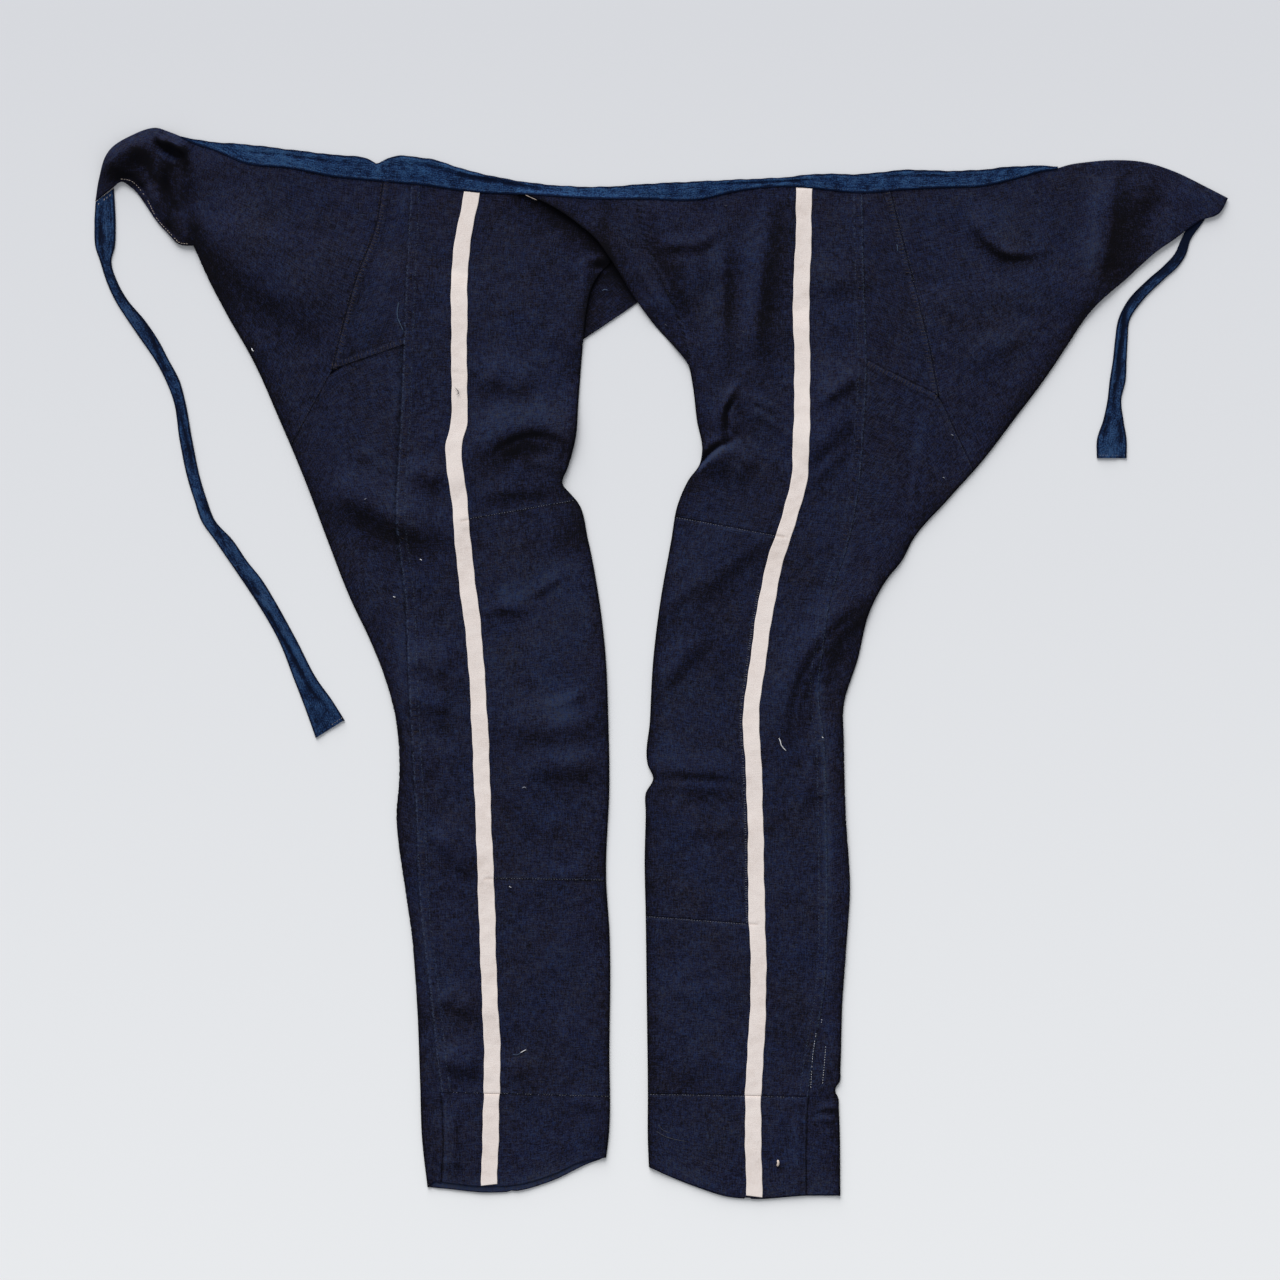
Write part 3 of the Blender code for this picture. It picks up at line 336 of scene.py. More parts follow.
TAPER = 0.35           # a fold gets lower over this share of its length at each end
END_SHARE = 0.2        # down to this share of its height
FOLD_GAIN = 1.45
CREASE_GAIN = 1.4

# Low ripples all over the cloth: wavelength, height, number of waves
RIPPLES = ((120, 0.22, 14), (60, 0.14, 16), (28, 0.08, 24), (14, 0.045, 30), (8, 0.025, 30))
UNDER_RIPPLES = ((70, 0.30, 8), (34, 0.22, 12), (16, 0.10, 16))
STRIP_RIPPLES = ((24, 0.16, 8), (10, 0.10, 12), (5, 0.04, 12))
UNDER_FOLDS = 0.3      # share of the folds of the upper layer that shows in the lower one
UNDER_FOLD_MOST = 2.0
UNDER_MOST = 0.7       # most that the lower layer rises
UNDER_FADE = 14.0      # way from a folded edge over which it starts to rise

# Painted shading: how far a place is painted paler (above 0) or darker (below 0) than the plain cloth, as
# painted light and painted shade
SHADING_TURN = 28.0       # degrees: slopes that face up and to the left, towards the window light, are painted paler, and those that face away painted darker
SLOPE_SHADING_GAIN = 1.35
SHADE_GAIN = 0.9
EDGE_SHADE = (0.17, 10.0)        # painted shade towards the folded edges: amount, reach
RIM_SHADE_LINE = (0.3, 2.2)           # and a narrow painted dark line, a painted shade outline, at them
RIM_TURN_SHADE = 1.0                  # painted shade, darkest where the cloth turns under
UNDER_SHADING = (0.5, -0.1)        # lower layer: share of the painted shading of the upper one, and a shift darker as painted shade
# Painted shade on the half of a folded edge that faces the surface
FOLD_UNDER_SHADE = 0.25
TURN_LIGHT_MOST, TURN_SHADE = 0.15, -0.04          # turned end of the left seat: most painted light, and a shift darker for its darker inside face and painted shade
# Painted shade on the crotch piece, which lies low between the fronts
CROTCH_SHADE = -0.12
STRIP_RIPPLE_SHADING = 0.8                # painted shading of the ripples of a strip: higher parts paler, lower ones darker
STRIP_EDGE_SHADE = (-1.1, 1.3)        # painted shade along its sides: amount, reach
STRIP_EDGE_HIGHLIGHT = (0.2, 2.6, 1.0)    # painted highlight beside that: amount, place, reach

# Painted shade (below 0) and painted light (above 0), with some paler worn strips along the seams and real
# patches of the dye: amount, width at the left hand, width at the right hand, route
SHADES = (
    (-0.42, 2, 15, ((-150, 444), (-117, 434), (-94, 422), (-76, 409), (-61, 396), (-47, 377), (-22, 339))),
    (-0.3, 10, 28, ((-448, 453), (-437, 402), (-401, 357), (-348, 321), (-313, 295))),
    (-0.45, 6, 11, ((-452, 481), (-450, 470), (-454, 445), (-448, 411))),
    (-0.9, 3, 4, ((-476, 500), (-469, 490), (-459, 486), (-452, 481), (-450, 471))),
    (0.35, 4, 4, ((-466, 482), (-460, 476), (-455, 472))),
    (-0.55, 2.5, 2.5, ((-469, 476), (-462, 469), (-454, 468), (-447, 473))),
    (-0.45, 3, 3, ((-508, 486), (-495, 482), (-484, 477), (-472, 466))),
    (0.25, 4, 4, ((-512, 476), (-499, 471), (-484, 463), (-474, 451))),
    (-0.45, 2.5, 2.5, ((-483, 479), (-479, 463), (-469, 451), (-456, 444))),
    (0.25, 3, 3, ((-472, 463), (-463, 456), (-455, 439), (-448, 421))),
    (-0.24, 4, 7, ((283, 436), (291, 419), (299, 405), (311, 392), (326, 384), (360, 386))),
    (-0.2, 12, 12, ((-508, 483), (-493, 475), (-476, 458), (-467, 436))),
    (-0.55, 26, 2.2, ((428, 468), (426, 422), (419, 379), (410, 347))),
    (-0.26, 10, 12, ((452, 462), (462, 440), (458, 416))),
    (0.08, 12, 12, ((-179, 225), (-160, 229), (-123, 236), (-94, 242))),
    (-0.3, 9, 9, ((-153, 193), (-132, 199), (-109, 198))),
    (-0.3, 4, 22, ((-164, 195), (-141, 207), (-119, 216), (-98, 210), (-87, 199))),
    (-0.16, 6, 18, ((-173, 157), (-141, 165), (-109, 169), (-91, 161))),
    (-0.38, 22, 2, ((109, 451), (101, 389), (95, 342), (89, 266))),
    (-0.32, 11, 2, ((63, 421), (62, 360), (62, 313), (64, 276))),
    (-0.4, 14, 4, ((-17, 426), (-9, 398), (3, 370), (14, 342), (24, 303))),
    (-0.42, 12, 1.2, ((31, 179), (41, 190), (52, 201), (65, 207))),
    (0.08, 1.5, 12, ((41, 187), (50, 196), (59, 202), (69, 204))),
    (-0.36, 5, 9, ((75, 263), (64, 246), (61, 229), (67, 208))),
    (-0.22, 14, 3, ((204, 62), (178, 43), (158, 25), (143, 5), (133, -14), (126, -36), (121, -63))),
    (-0.12, 14, 14, ((174, 18), (157, 0), (142, -25))),
    (-0.12, 8, 8, ((142, -100), (137, -142))),
    (-0.26, 8, 16, ((-322, 156), (-281, 139), (-251, 122), (-217, 109), (-196, 112))),
    (0.12, 12, 6, ((-271, 154), (-241, 141), (-217, 128))),
    (-0.16, 12, 12, ((-339, 131), (-282, 124), (-235, 110))),
    (-0.16, 12, 12, ((-232, 167), (-205, 161))),
    (0.26, 13, 11, ((-158, 67), (-140, 68), (-119, 69))),
    (0.24, 11, 10, ((-119, 86), (-93, 91), (-64, 90))),
    (0.1, 26, 26, ((-151, 60), (-100, 48), (-66, 22))),
    (-0.2, 7, 6, ((-162, 45), (-144, 47), (-123, 45))),
    (-0.24, 15, 14, ((-108, 116), (-83, 115), (-64, 109))),
    (-0.12, 20, 12, ((-94, 138), (-71, 133), (-53, 125))),
    (-0.22, 4, 4, ((-121, 62), (-109, 71), (-94, 82))),
    (0.22, 15, 14, ((-113, -40), (-94, -40), (-72, -36))),
    (0.12, 14, 14, ((-94, -34), (-89, -53), (-93, -25))),
    (-0.16, 9, 9, ((-149, -61), (-117, -66), (-89, -64), (-53, -57))),
    (0.2, 8, 8, ((-108, -88), (-85, -86), (-59, -84))),
    (-0.17, 8, 8, ((-120, -107), (-89, -108), (-53, -104))),
    (-0.16, 7, 7, ((-155, -132), (-140, -132), (-128, -134))),
    (-0.14, 7, 7, ((-128, -151), (-119, -158), (-108, -168))),
    (0.1, 22, 22, ((-179, 22), (-151, 3), (-132, -16))),
    (-0.12, 9, 9, ((-210, 63), (-209, 41), (-207, 15))),
    (0.14, 9, 9, ((-213, -72), (-202, -79), (-194, -87))),
    (-0.16, 7, 7, ((-213, -55), (-202, -59), (-192, -64))),
    (0.1, 24, 24, ((-19, 97), (7, 105), (37, 97))),
    (-0.1, 22, 22, ((37, 22), (58, -4), (71, -34))),
    (0.12, 18, 18, ((-5, -63), (7, -79), (3, -100))),
    (-0.14, 12, 10, ((1, -106), (28, -110), (71, -113))),
    (-0.15, 26, 10, ((199, 69), (174, 39), (156, 11), (142, -25))),
    (0.42, 4, 4, ((161, 63), (152, 13), (148, -31), (153, -76), (156, -134), (157, -227), (156, -296))),
    (0.22, 4, 4, ((180, 121), (174, 97), (165, 69))),
    (0.3, 4, 4, ((-241, 447), (-243, 431), (-243, 417))),
    (0.26, 4, 4, ((-245, 342), (-246, 325), (-247, 310))),
    (0.26, 4, 4, ((-248, 274), (-249, 250), (-250, 224))),
    (0.18, 4, 4, ((-246, 97), (-244, 22), (-243, -34), (-235, -110))),
    (0.22, 4, 4, ((-226, -227), (-221, -265), (-218, -293))),
    (-0.2, 13, 13, ((458, 377), (406, 327), (366, 280), (329, 231), (295, 186))),
    (-0.18, 10, 10, ((-433, 389), (-407, 336), (-375, 274), (-346, 210))),
    (-0.16, 8, 2, ((-262, 451), (-269, 411), (-287, 360), (-300, 313), (-308, 278))),
    (-0.08, 9, 9, ((-121, -160), (-92, -165))),
    (0.08, 12, 20, ((-94, -34), (-89, -49), (-66, -46))),
    (0.1, 12, 12, ((-76, -337), (-60, -360))),
    (0.07, 20, 20, ((-90, -307), (-66, -279), (-57, -241))),
    (-0.1, 7, 7, ((-141, -375), (-132, -392))),
    (-0.1, 22, 24, ((31, 54), (54, 78), (82, 99), (107, 118))),
    (-0.55, 1.8, 1.8, ((-287, 202), (-280, 193), (-274, 184))),
    (-0.1, 9, 9, ((3, -23), (22, 0))),
    (0.1, 12, 12, ((-5, -87), (7, -89))),
    (0.12, 10, 10, ((150, -326), (161, -354), (157, -388))),
    (0.3, 9, 12, ((135, -492), (150, -493), (169, -492))),
    (0.3, 7, 3, ((-219, -486), (-165, -492), (-132, -488), (-102, -479), (-66, -463), (-51, -458))),
    (0.26, 8, 3, ((-12, -467), (4, -473), (37, -486), (63, -495))),
    (0.1, 4, 4, ((-210, -394), (-204, -397))),
    (0.14, 10, 10, ((456, 431), (471, 411), (460, 398))),
    (-0.08, 30, 30, ((-395, 172), (-311, 182))),
    (0.06, 30, 40, ((-311, 398), (-339, 360), (-282, 342))),
    (0.07, 22, 22, ((310, 342), (347, 370), (376, 398))),
    (-0.1, 30, 20, ((282, 182), (225, 116), (197, 69))),
    (-0.12, 20, 20, ((-19, -373), (37, -392), (75, -373))),
    (0.1, 30, 30, ((-5, -429), (56, -457))),
    (0.09, 36, 36, ((28, -260), (31, -316), (37, -354))),
    (0.09, 24, 24, ((52, 370), (54, 313))),
    (0.14, 9, 9, ((-249, 426), (-258, 370), (-269, 323))),
    (0.06, 36, 36, ((-123, 60), (-109, -34), (-106, -147))),
    (-0.07, 30, 30, ((-386, 417), (-348, 370))),
    (-0.2, 7, 7, ((-455, 445), (-450, 423))),
)

# Creases of the band and the ties: height, painted shade (below 0) or painted light (above 0), width at the
# left hand, width at the right hand, route
BAND_CREASES = (
    (0.0, 0.4, 7.0, 7.0, ((-412, 485), (-385, 480), (-355, 475), (-322, 470))),
    (0.7, 0.3, 3.0, 1.2, ((-259, 471.4), (-225.1, 472.3), (-180, 460.1), (-149.9, 455.4), (-119.8, 448.8),
     (-89.8, 447), (-56.9, 445.1))),
    (-0.5, -0.6, 1.2, 1.2, ((-258, 468.1), (-222.3, 468.6), (-181.9, 456.4), (-149.9, 451.7),
     (-121.7, 446), (-91.6, 444.1))),
    (0.0, -0.9, 1.3, 1.6, ((-210.1, 470.5), (-191.3, 461.5), (-171.5, 456.8), (-151.8, 455),
     (-132.1, 450.3), (-94.5, 447))),
    (0.0, -0.7, 1.2, 1.2, ((-385.9, 489.7), (-348.3, 485), (-310.7, 480.3), (-276.8, 473.8))),
    (-0.7, -0.7, 1.0, 1.0, ((37.1, 449.3), (74.7, 451.2), (117, 453.1), (159.3, 455.4))),
    (0.5, 0.25, 1.6, 1.4, ((29.6, 451.2), (74.7, 453.5), (117, 455.4), (160.3, 457.3))),
    (-0.5, -0.4, 1.2, 1.2, ((-419.7, 486), (-391, 480.8), (-348.3, 477), (-306, 470.9), (-270.2, 467.2))),
    (0.5, 0.35, 1.6, 1.6, ((-266.5, 470), (-265.6, 463.9), (-262.7, 456.4))),
    (-0.4, -0.6, 1.2, 1.2, ((-261.8, 472.3), (-260.8, 465.8), (-258, 458.2))),
    (-0.5, -0.45, 1.5, 1.5, ((189.4, 455.9), (231.7, 458.2), (272.1, 457.8), (309.7, 459.2))),
    (0.4, 0.2, 2.0, 1.5, ((-39.9, 442.3), (-0.5, 443.2), (39.9, 442.3))),
    (0.0, 0.08, 2.5, 2.5, ((-179.1, 452.6), (-132.1, 444.1), (-75.7, 440.4), (-19.3, 438.5))),
    (0.0, -0.5, 1.2, 1.2, ((189.4, 461.1), (231.7, 463.9), (276.8, 463.9), (328.5, 465.8), (361.4, 468.6))),
)
TIE_CREASES = {
    "l": (
        (-0.9, -0.9, 1.7, 1.7, ((-406.5, 103.9), (-391.5, 80.4), (-380.2, 59.7), (-365.2, 41.8),
         (-359.5, 30.5), (-349.2, 13.6), (-339.8, -4.2), (-329.9, -23), (-315.4, -39.9), (-306.9, -51.2))),
        (0.6, 0.4, 3.0, 2.5, ((-401.8, 107.6), (-385.9, 84.1), (-373.6, 61.6), (-352, 27.7),
         (-334.2, -4.2), (-318.2, -31.5), (-305, -45.6))),
        (-0.6, -0.6, 1.7, 1.7, ((-385.9, 86), (-382.1, 72.8), (-372.7, 59.7))),
        (1.0, 0.4, 3.0, 3.0, ((-500.1, 306), (-481.8, 282), (-465.8, 259.9), (-456.4, 240.2))),
        (-0.8, -1.0, 1.87, 1.87, ((-519.4, 377.4), (-512.3, 359.5), (-504.3, 345.4), (-495.8, 335.1),
         (-483.6, 319.1), (-474.2, 297.5), (-467.6, 279.6), (-459.2, 259))),
        (0.6, 0.5, 1.5, 1.5, ((-506.2, 357.7), (-496.8, 343.6), (-485.5, 327.6), (-475.2, 304.1))),
        (-0.5, -0.7, 1.7, 1.7, ((-455.4, 251.4), (-448.8, 224.2), (-442.3, 198.8), (-435.7, 172.5))),
        (0.9, 0.4, 2.5, 2.0, ((-437.1, 156), (-430, 140.1), (-423.9, 130.2))),
        (-0.6, -0.7, 2.21, 2.21, ((-525.9, 430), (-525.9, 395.3), (-522.2, 371.8))),
        (0.3, 0.4, 1.2, 1.2, ((-521.2, 424.4), (-520.3, 402.8), (-519.4, 386.8))),
        (-0.4, -0.5, 1.7, 1.7, ((-436.6, 176.2), (-427.2, 149), (-415.9, 125.5), (-404.7, 101))),
    ),
    "r": (
        (-0.9, -1.1, 1.7, 1.7, ((470.5, 368.5), (455.4, 356.3), (444.7, 345.4), (438.5, 336.4),
         (435.7, 325.7), (434.8, 313.5), (432.5, 298.4), (430.2, 282.9), (431, 274), (427.2, 259.9),
         (426.3, 244.9), (427.2, 230.8))),
        (-0.6, -0.9, 1.7, 1.7, ((486.4, 386.8), (475.2, 374.6), (462.9, 363.9), (450.7, 353.3),
         (441.3, 343.6))),
        (0.6, 0.5, 1.4, 1.4, ((469.5, 372.7), (460.1, 363.8), (448.8, 353.4), (441.3, 345.4),
         (435.7, 336))),
        (0.5, 0.35, 1.6, 1.4, ((431, 321), (429.1, 304.1), (426.8, 285.3), (424.4, 266.5), (423.5, 251.4))),
        (0.4, 0.3, 1.4, 1.4, ((437.6, 313.5), (436.6, 294.7), (434.8, 277.8))),
        (-0.4, -0.6, 1.7, 1.7, ((431, 230.8), (432.5, 215.7), (431, 204.4))),
        (-0.4, -0.6, 1.7, 1.7, ((422.5, 238.3), (418.8, 223.2), (415.9, 208.2))),
        (0.3, 0.3, 2.0, 2.0, ((425.3, 236.4), (424.4, 219.5), (423.5, 204.4))),
        (0.0, -1.3, 12.0, 12.0, ((520, 432), (508, 422), (501.5, 415), (494.9, 405.6), (487.3, 391.4),
         (480, 382))),
        (0.0, -0.45, 9.0, 9.0, ((488.3, 388.7), (477, 377.4), (462, 364.2))),
        (0.0, -0.25, 9.0, 9.0, ((455.4, 356.7), (441.3, 345.4), (434.8, 330.4))),
        (0.0, 0.5, 9.0, 1.2, ((411.2, 195.4), (424.4, 195.4), (438.5, 195.4))),
    ),
}

# Relief of a seam across its route: the groove, and the band where it is felled; with painted shade in the
# groove and a painted highlight beside it
SEAM_REACH = 16.0
GROOVE = 1.1                    # width
# Width of the painted shade in the groove
SEAM_SHADE_WIDTH = 1.0
SEAM_HIGHLIGHT = (0.4, 2.2, 1.4)          # painted highlight beside the painted shade: share of it, place, width
WEAR = (0.9, 1.3)               # worn line: place, width
FELL_RISE = 0.45
FELL_SLOPES = (3.0, 2.2)        # steepness of its two sides
FELL_GROOVE = (0.25, 1.2, 0.9)  # row of stitches that holds it: depth, place inside its edge, width
FELL_SHADE = (0.45, 0.6, 0.9)    # painted shade past its edge: share of the painted shade in the groove, place, width
FELL_WEAR = (0.6, 0.9, 1.2)     # wear of its edge: share, place inside the edge, width
PUCKER_LENGTHS = (1.35, 2.9, 11.0)
PUCKER_REACH = 6.0

# Seams: width of the felled band, depth of the groove, height of the puckers, wear, painted shade in the
# groove
SEAM_LOOKS = {
    "side": (9.5, 0.35, 0.08, 1.3, 0.14), "cuff side": (0.0, 0.5, 0.14, 0.15, 0.5),
    "gore": (6.5, 0.4, 0.12, 0.35, 0.32), "foot": (6.5, 0.25, 0.08, 0.25, 0.35),
    "low": (0.0, 0.3, 0.12, 0.5, 0.25), "cross": (0.0, 0.3, 0.12, 0.35, 0.35),
    "band": (0.0, 0.3, 0.16, 0.2, 0.35), "facing": (0.0, 0.45, 0.16, 0.5, 0.5),
}

# Rows of stitches: distance from their seam, pitch, length, thickness, share that is left, turn in degrees
STITCHES = {
    "knee": (0.6, 2.5, 1.35, 0.4, 0.95), "calf": (0.6, 2.5, 1.35, 0.34, 0.85),
    "ankle": (0.5, 2.5, 1.35, 0.34, 0.7), "calf overcast": (1.3, 2.2, 1.9, 0.3, 0.75, 90),
    "ankle overcast": (1.2, 2.2, 1.9, 0.3, 0.75, 90), "outer cuff": (0.5, 2.8, 1.3, 0.34, 0.65),
    "side": (4.8, 5.2, 4.0, 0.28, 0.5, 78), "gore": (1.3, 3.0, 1.8, 0.4, 0.85),
    "gore fell": (3.2, 3.2, 4.4, 0.38, 0.8, 80), "foot": (1.2, 3.2, 1.8, 0.38, 0.9),
    "foot fell": (3.6, 3.2, 4.2, 0.38, 0.85, 84), "low": (1.0, 3.0, 1.8, 0.38, 0.8),
    "hem": (0.0, 3.4, 2.0, 0.34, 0.9), "cuff side": (1.4, 3.2, 1.8, 0.36, 0.9),
    "patch edge": (0.0, 2.1, 2.2, 0.34, 0.85, 90), "patch": (1.6, 2.3, 1.6, 0.3, 0.7),
    "facing": (0.0, 3.0, 1.8, 0.3, 0.6), "white": (0.0, 2.4, 1.4, 0.42, 0.8),
    "band": (1.5, 3.0, 1.7, 0.36, 0.85), "selvedge": (1.7, 2.6, 2.0, 0.5, 0.85),
    "tie": (0.0, 3.0, 1.9, 0.5, 0.85),
    "tie second": (0.0, 3.4, 2.2, 0.4, 0.6, 30), "tie end": (0.0, 2.6, 1.6, 0.4, 0.8),
    "frayed": (0.0, 1.6, 1.5, 0.3, 0.8, 75),
}
SIDE_ROWS = ((1.3, 0.55), (8.4, 0.42))      # beside the side seam: distance, share that is left
SIDE_THREADS = (("blue", 0.0, 2.9, 1.9, 0.4), ("ash", 0.6, 2.5, 1.4, 0.36))     # the two of each such row
CROSS_SPAN = (0.05, 0.985)      # shares of its seam that a row covers
OUTER_CUFF_SPAN = (0.1, 0.84)
LOW_SPAN = (0.04, 1.0)
TIE_SPAN = (0.03, 0.97)
TIE_END_SPAN = (0.55, 1.0)
PATCH_GAP = 1.9                 # between the stripe and the edge of the patch behind it
HEM_HEIGHT = 12.0
BAND_SEAM_SPAN = (-425, 352)
THREAD_RISE = 0.1               # of the rows on a tie over its cloth
STITCH_SHIFT, STITCH_TURN = 0.06, 0.09      # how uneven: share of the pitch, turn
STITCH_LENGTHS = (0.8, 1.2)     # shares of its length that a stitch may have
STITCH_WORN = (0.45, 9.0)       # worn places: how much they differ, their length
STITCH_ARCH = (0.42, 0.75)      # rise of its middle and drop of its ends, as shares of its thickness
KNEE_PATCH = (-244.0, 68.0)     # from and to this height, the right stripe has stitches at its inner side
TIE_SECOND = (1.2, -3.2, 0.0)   # from the first row of stitches at the root of the left tie to the second
TIE_END_ROW = ((-322, -66), (-299, -51))
FRAYED_ROW = ((411, 195.4), (437, 195.4))
WHITE_ROWS = (((141, -399), (142, -382), (143, -366), (146, -347)), ((152, -395), (154, -374),
              (155, -360)), ((151, -338), (152, -330)))

# Lint and loose threads: colour, thickness, route
LINT = (
    ("cream", 0.7, ((-127, 440), (-123, 438), (-116, 435))),
    ("blue", 1.0, ((-246, 339), (-247, 325), (-244, 318), (-241, 311))),
    ("white", 1.4, ((-384, 296), (-383, 294), (-382, 293))),
    ("white", 1.2, ((-226, 98), (-225, 97.5), (-224, 97))),
    ("white", 1.2, ((-251, 63), (-250, 62.5), (-249, 62))),
    ("pale", 0.8, ((-278, 154), (-277, 154), (-276, 155))),
    ("pale", 1.0, ((-130, -117), (-128, -116), (-126, -117))),
    ("white", 0.8, ((-142, -209), (-141, -210), (-140, -210))),
    ("white", 0.8, ((-131.5, -365.5), (-129, -364), (-126, -362.5))),
    ("blue", 0.7, ((-139, -367), (-135, -367.5), (-131, -365.5))),
    ("white", 1.2, ((111, -70), (112.5, -73), (113, -76), (115, -79), (118, -82))),
    ("white", 1.2, ((151.5, -69), (152.5, -69.5), (153, -70))),
    ("cream", 3.0, ((110, -466), (110.5, -469), (109.5, -472))),
    ("ash", 0.8, ((4, 319), (5, 318), (6, 317))),
    ("ash", 0.6, ((60, 431), (61.5, 430), (63, 430))),
    ("ash", 0.6, ((77, 312), (78, 311), (79, 311))),
    ("blue", 1.0, ((222, 394), (222.6, 391), (223, 387))),
    ("pale", 0.9, ((273, 215), (274, 214.5), (275, 214))),
    ("pale", 0.9, ((265, 175), (266, 174.5), (267, 174))),
    ("blue", 0.8, ((-55, 350), (-52, 351), (-49, 350))),
    ("ash", 0.5, ((-4, -439), (4, -444), (14, -447), (25, -449))),
    ("ash", 0.5, ((-2, -433), (2, -438), (9, -441))),
    ("ash", 0.6, ((-119, -274), (-118.5, -276))),
    ("ash", 0.6, ((-69, -300), (-68, -302))),
    ("ash", 0.6, ((-58, -260), (-58, -262))),
)
STRIPE_MARK = ((-193, 259), (-190, 256), (-189.5, 253.5), (-191.5, 252.5))
STRIPE_MARK_THICK = 0.9

# Colours in linear light
INDIGO = {"deep": (0.0015, 0.0013, 0.0034), "shade": (0.0048, 0.0046, 0.0125),
          "body": (0.0084, 0.0094, 0.0300), "light": (0.0180, 0.0245, 0.0570),
          "warm": (0.0130, 0.0108, 0.0165), "blue": (0.0058, 0.0105, 0.0420), "worn": (0.045, 0.065, 0.125)}
DENIM = {"deep": (0.0012, 0.0050, 0.0210), "shade": (0.0035, 0.0135, 0.0500),
         "body": (0.0062, 0.0235, 0.0820), "light": (0.0230, 0.0680, 0.1600),
         "warm": (0.0080, 0.0200, 0.0600), "blue": (0.0060, 0.0280, 0.1000), "worn": (0.080, 0.150, 0.270)}
TIE_BLUE = {"deep": (0.0012, 0.0038, 0.0150), "shade": (0.0032, 0.0110, 0.0380),
            "body": (0.0056, 0.0195, 0.0640), "light": (0.0210, 0.0570, 0.1350),
            "warm": (0.0080, 0.0180, 0.0500), "blue": (0.0055, 0.0230, 0.0800),
            "worn": (0.080, 0.150, 0.270)}
TAPE = {"deep": (0.640, 0.540, 0.490), "shade": (0.700, 0.608, 0.562), "body": (0.765, 0.680, 0.640),
        "light": (0.815, 0.750, 0.710), "warm": (0.760, 0.660, 0.600), "blue": (0.770, 0.700, 0.670),
        "worn": (0.840, 0.800, 0.760)}
THREADS = {"cream": (0.620, 0.520, 0.450), "white": (0.720, 0.720, 0.740), "pale": (0.230, 0.240, 0.290),
           "ash": (0.060, 0.063, 0.078), "blue": (0.050, 0.080, 0.140), "tan": (0.062, 0.047, 0.043),
           "dark": (0.0060, 0.0060, 0.0120)}

# Ramp from the deep and shade colours through the body to the light, driven by the dye's own unevenness and
# by the painted shade and painted light: place of each colour, and what the cloth adds to it
STOPS = {"deep": 0.0, "shade": 0.28, "body": 0.5, "light": 1.0}
TINTS = ((520.0, "warm", 1.2), (430.0, "blue", 1.2), (17.0, "warm", 0.4), (23.0, "blue", 0.4))
TINT_RANGE = (0.44, 0.68)
SPECKS = (330.0, 3.0, 0.75)     # noise of the pale specks: scale, detail, roughness
SPECK_RANGE = (0.50, 0.68)
NOISES = {"broad": (11.0, 3.0, 0.55), "middle": (60.0, 3.0, 0.6), "clumps": (210.0, 2.0, 0.6),
          "fibres": (900.0, 1.0, 0.6)}
SLUBS = ((110.0, 1000.0), (1000.0, 110.0))  # scales of the uneven threads of the weft and of the warp
THREAD_PITCH = 0.62
WEAVE_RELIEF = (0.30, 0.8, 0.8, 0.9)        # shares of the weave, the weft, the warp and the fibres
WEAVE_DEPTH = 0.0004
ROUGH_FIBRES, ROUGH_TONE = 0.12, -0.03
SPECULAR = 0.10
SHEEN = (0.02, 0.45, 12.0)      # weight, roughness, gain of its tint over the light colour

# Studio
# Ground colour, a painted falloff of light: darker at the side of the waistband, paler at the other side
GROUND_FAR = (0.700, 0.705, 0.728)
GROUND_NEAR = (0.835, 0.840, 0.846)
GROUND_HALF = 3500.0
GROUND_SPAN = 0.6               # metres from the middle over which the ground changes
FRAME_WIDTH = 1.2032
FRAME_CENTRE = (-0.0193, 0.0221)
LENS, SENSOR = 85.0, 36.0
AMBIENT = 0.46
AMBIENT_COLOUR = (0.93, 0.96, 1.0)
WINDOW_POWER = 4.03
WINDOW_HEIGHT = 25.0            # degrees over the surface
WINDOW_TURN = 16.0              # degrees to the left of straight down the garment
WINDOW_ANGLE = 50.0             # degrees that it fills, so shadows are soft


# Plan curves and grids

def soft(distance, reach):
    """1 at a distance of 0, easing to 0 past the reach."""
    return np.exp(-(distance / reach) ** 2)


def lengths(curve):
    """Distance along a curve at each of its points."""
    return np.concatenate([[0.0], np.cumsum(np.linalg.norm(np.diff(curve, axis=0), axis=1))])


def smooth(points, steps=12):
    """Smooth curve through the points, as a dense row of points."""
    points = np.array(points, float)
    along = lengths(points)
    slopes = np.gradient(points, along, axis=0, edge_order=1)
    curve = []
    for i in range(len(points) - 1):
        span = along[i + 1] - along[i]
        t = np.linspace(0, 1, steps, endpoint=False)[:, None]
        curve.append((2 * t**3 - 3 * t**2 + 1) * points[i] + (t**3 - 2 * t**2 + t) * span * slopes[i]
                     + (3 * t**2 - 2 * t**3) * points[i + 1] + (t**3 - t**2) * span * slopes[i + 1])
    curve.append(points[-1:])
    return np.concatenate(curve)


def at(curve, shares):
    """Points of a curve at shares 0 to 1 of its length."""
    curve = np.array(curve, float)
    along = lengths(curve)
    return np.stack([np.interp(np.asarray(shares) * along[-1], along, curve[:, axis])
                     for axis in range(curve.shape[1])], axis=-1)


def evenly(count):
    """Shares from 0 to 1."""
    return np.linspace(0, 1, count)


def between(curve, start, end, shares, axis):
    """Part of a curve from one coordinate to another along an axis, at shares of its length."""
    if curve[0, axis] > curve[-1, axis]:
        curve = curve[::-1]
    low, high = min(start, end), max(start, end)
    inside = curve[(curve[:, axis] > low) & (curve[:, axis] < high)]
    ends = []
    for value in (low, high):
        point = [0.0, 0.0]
        point[axis] = value
        point[1 - axis] = np.interp(value, curve[:, axis], curve[:, 1 - axis])
        ends.append(point)
    part = np.concatenate([[ends[0]], inside, [ends[1]]])
    return at(part if start <= end else part[::-1], shares)


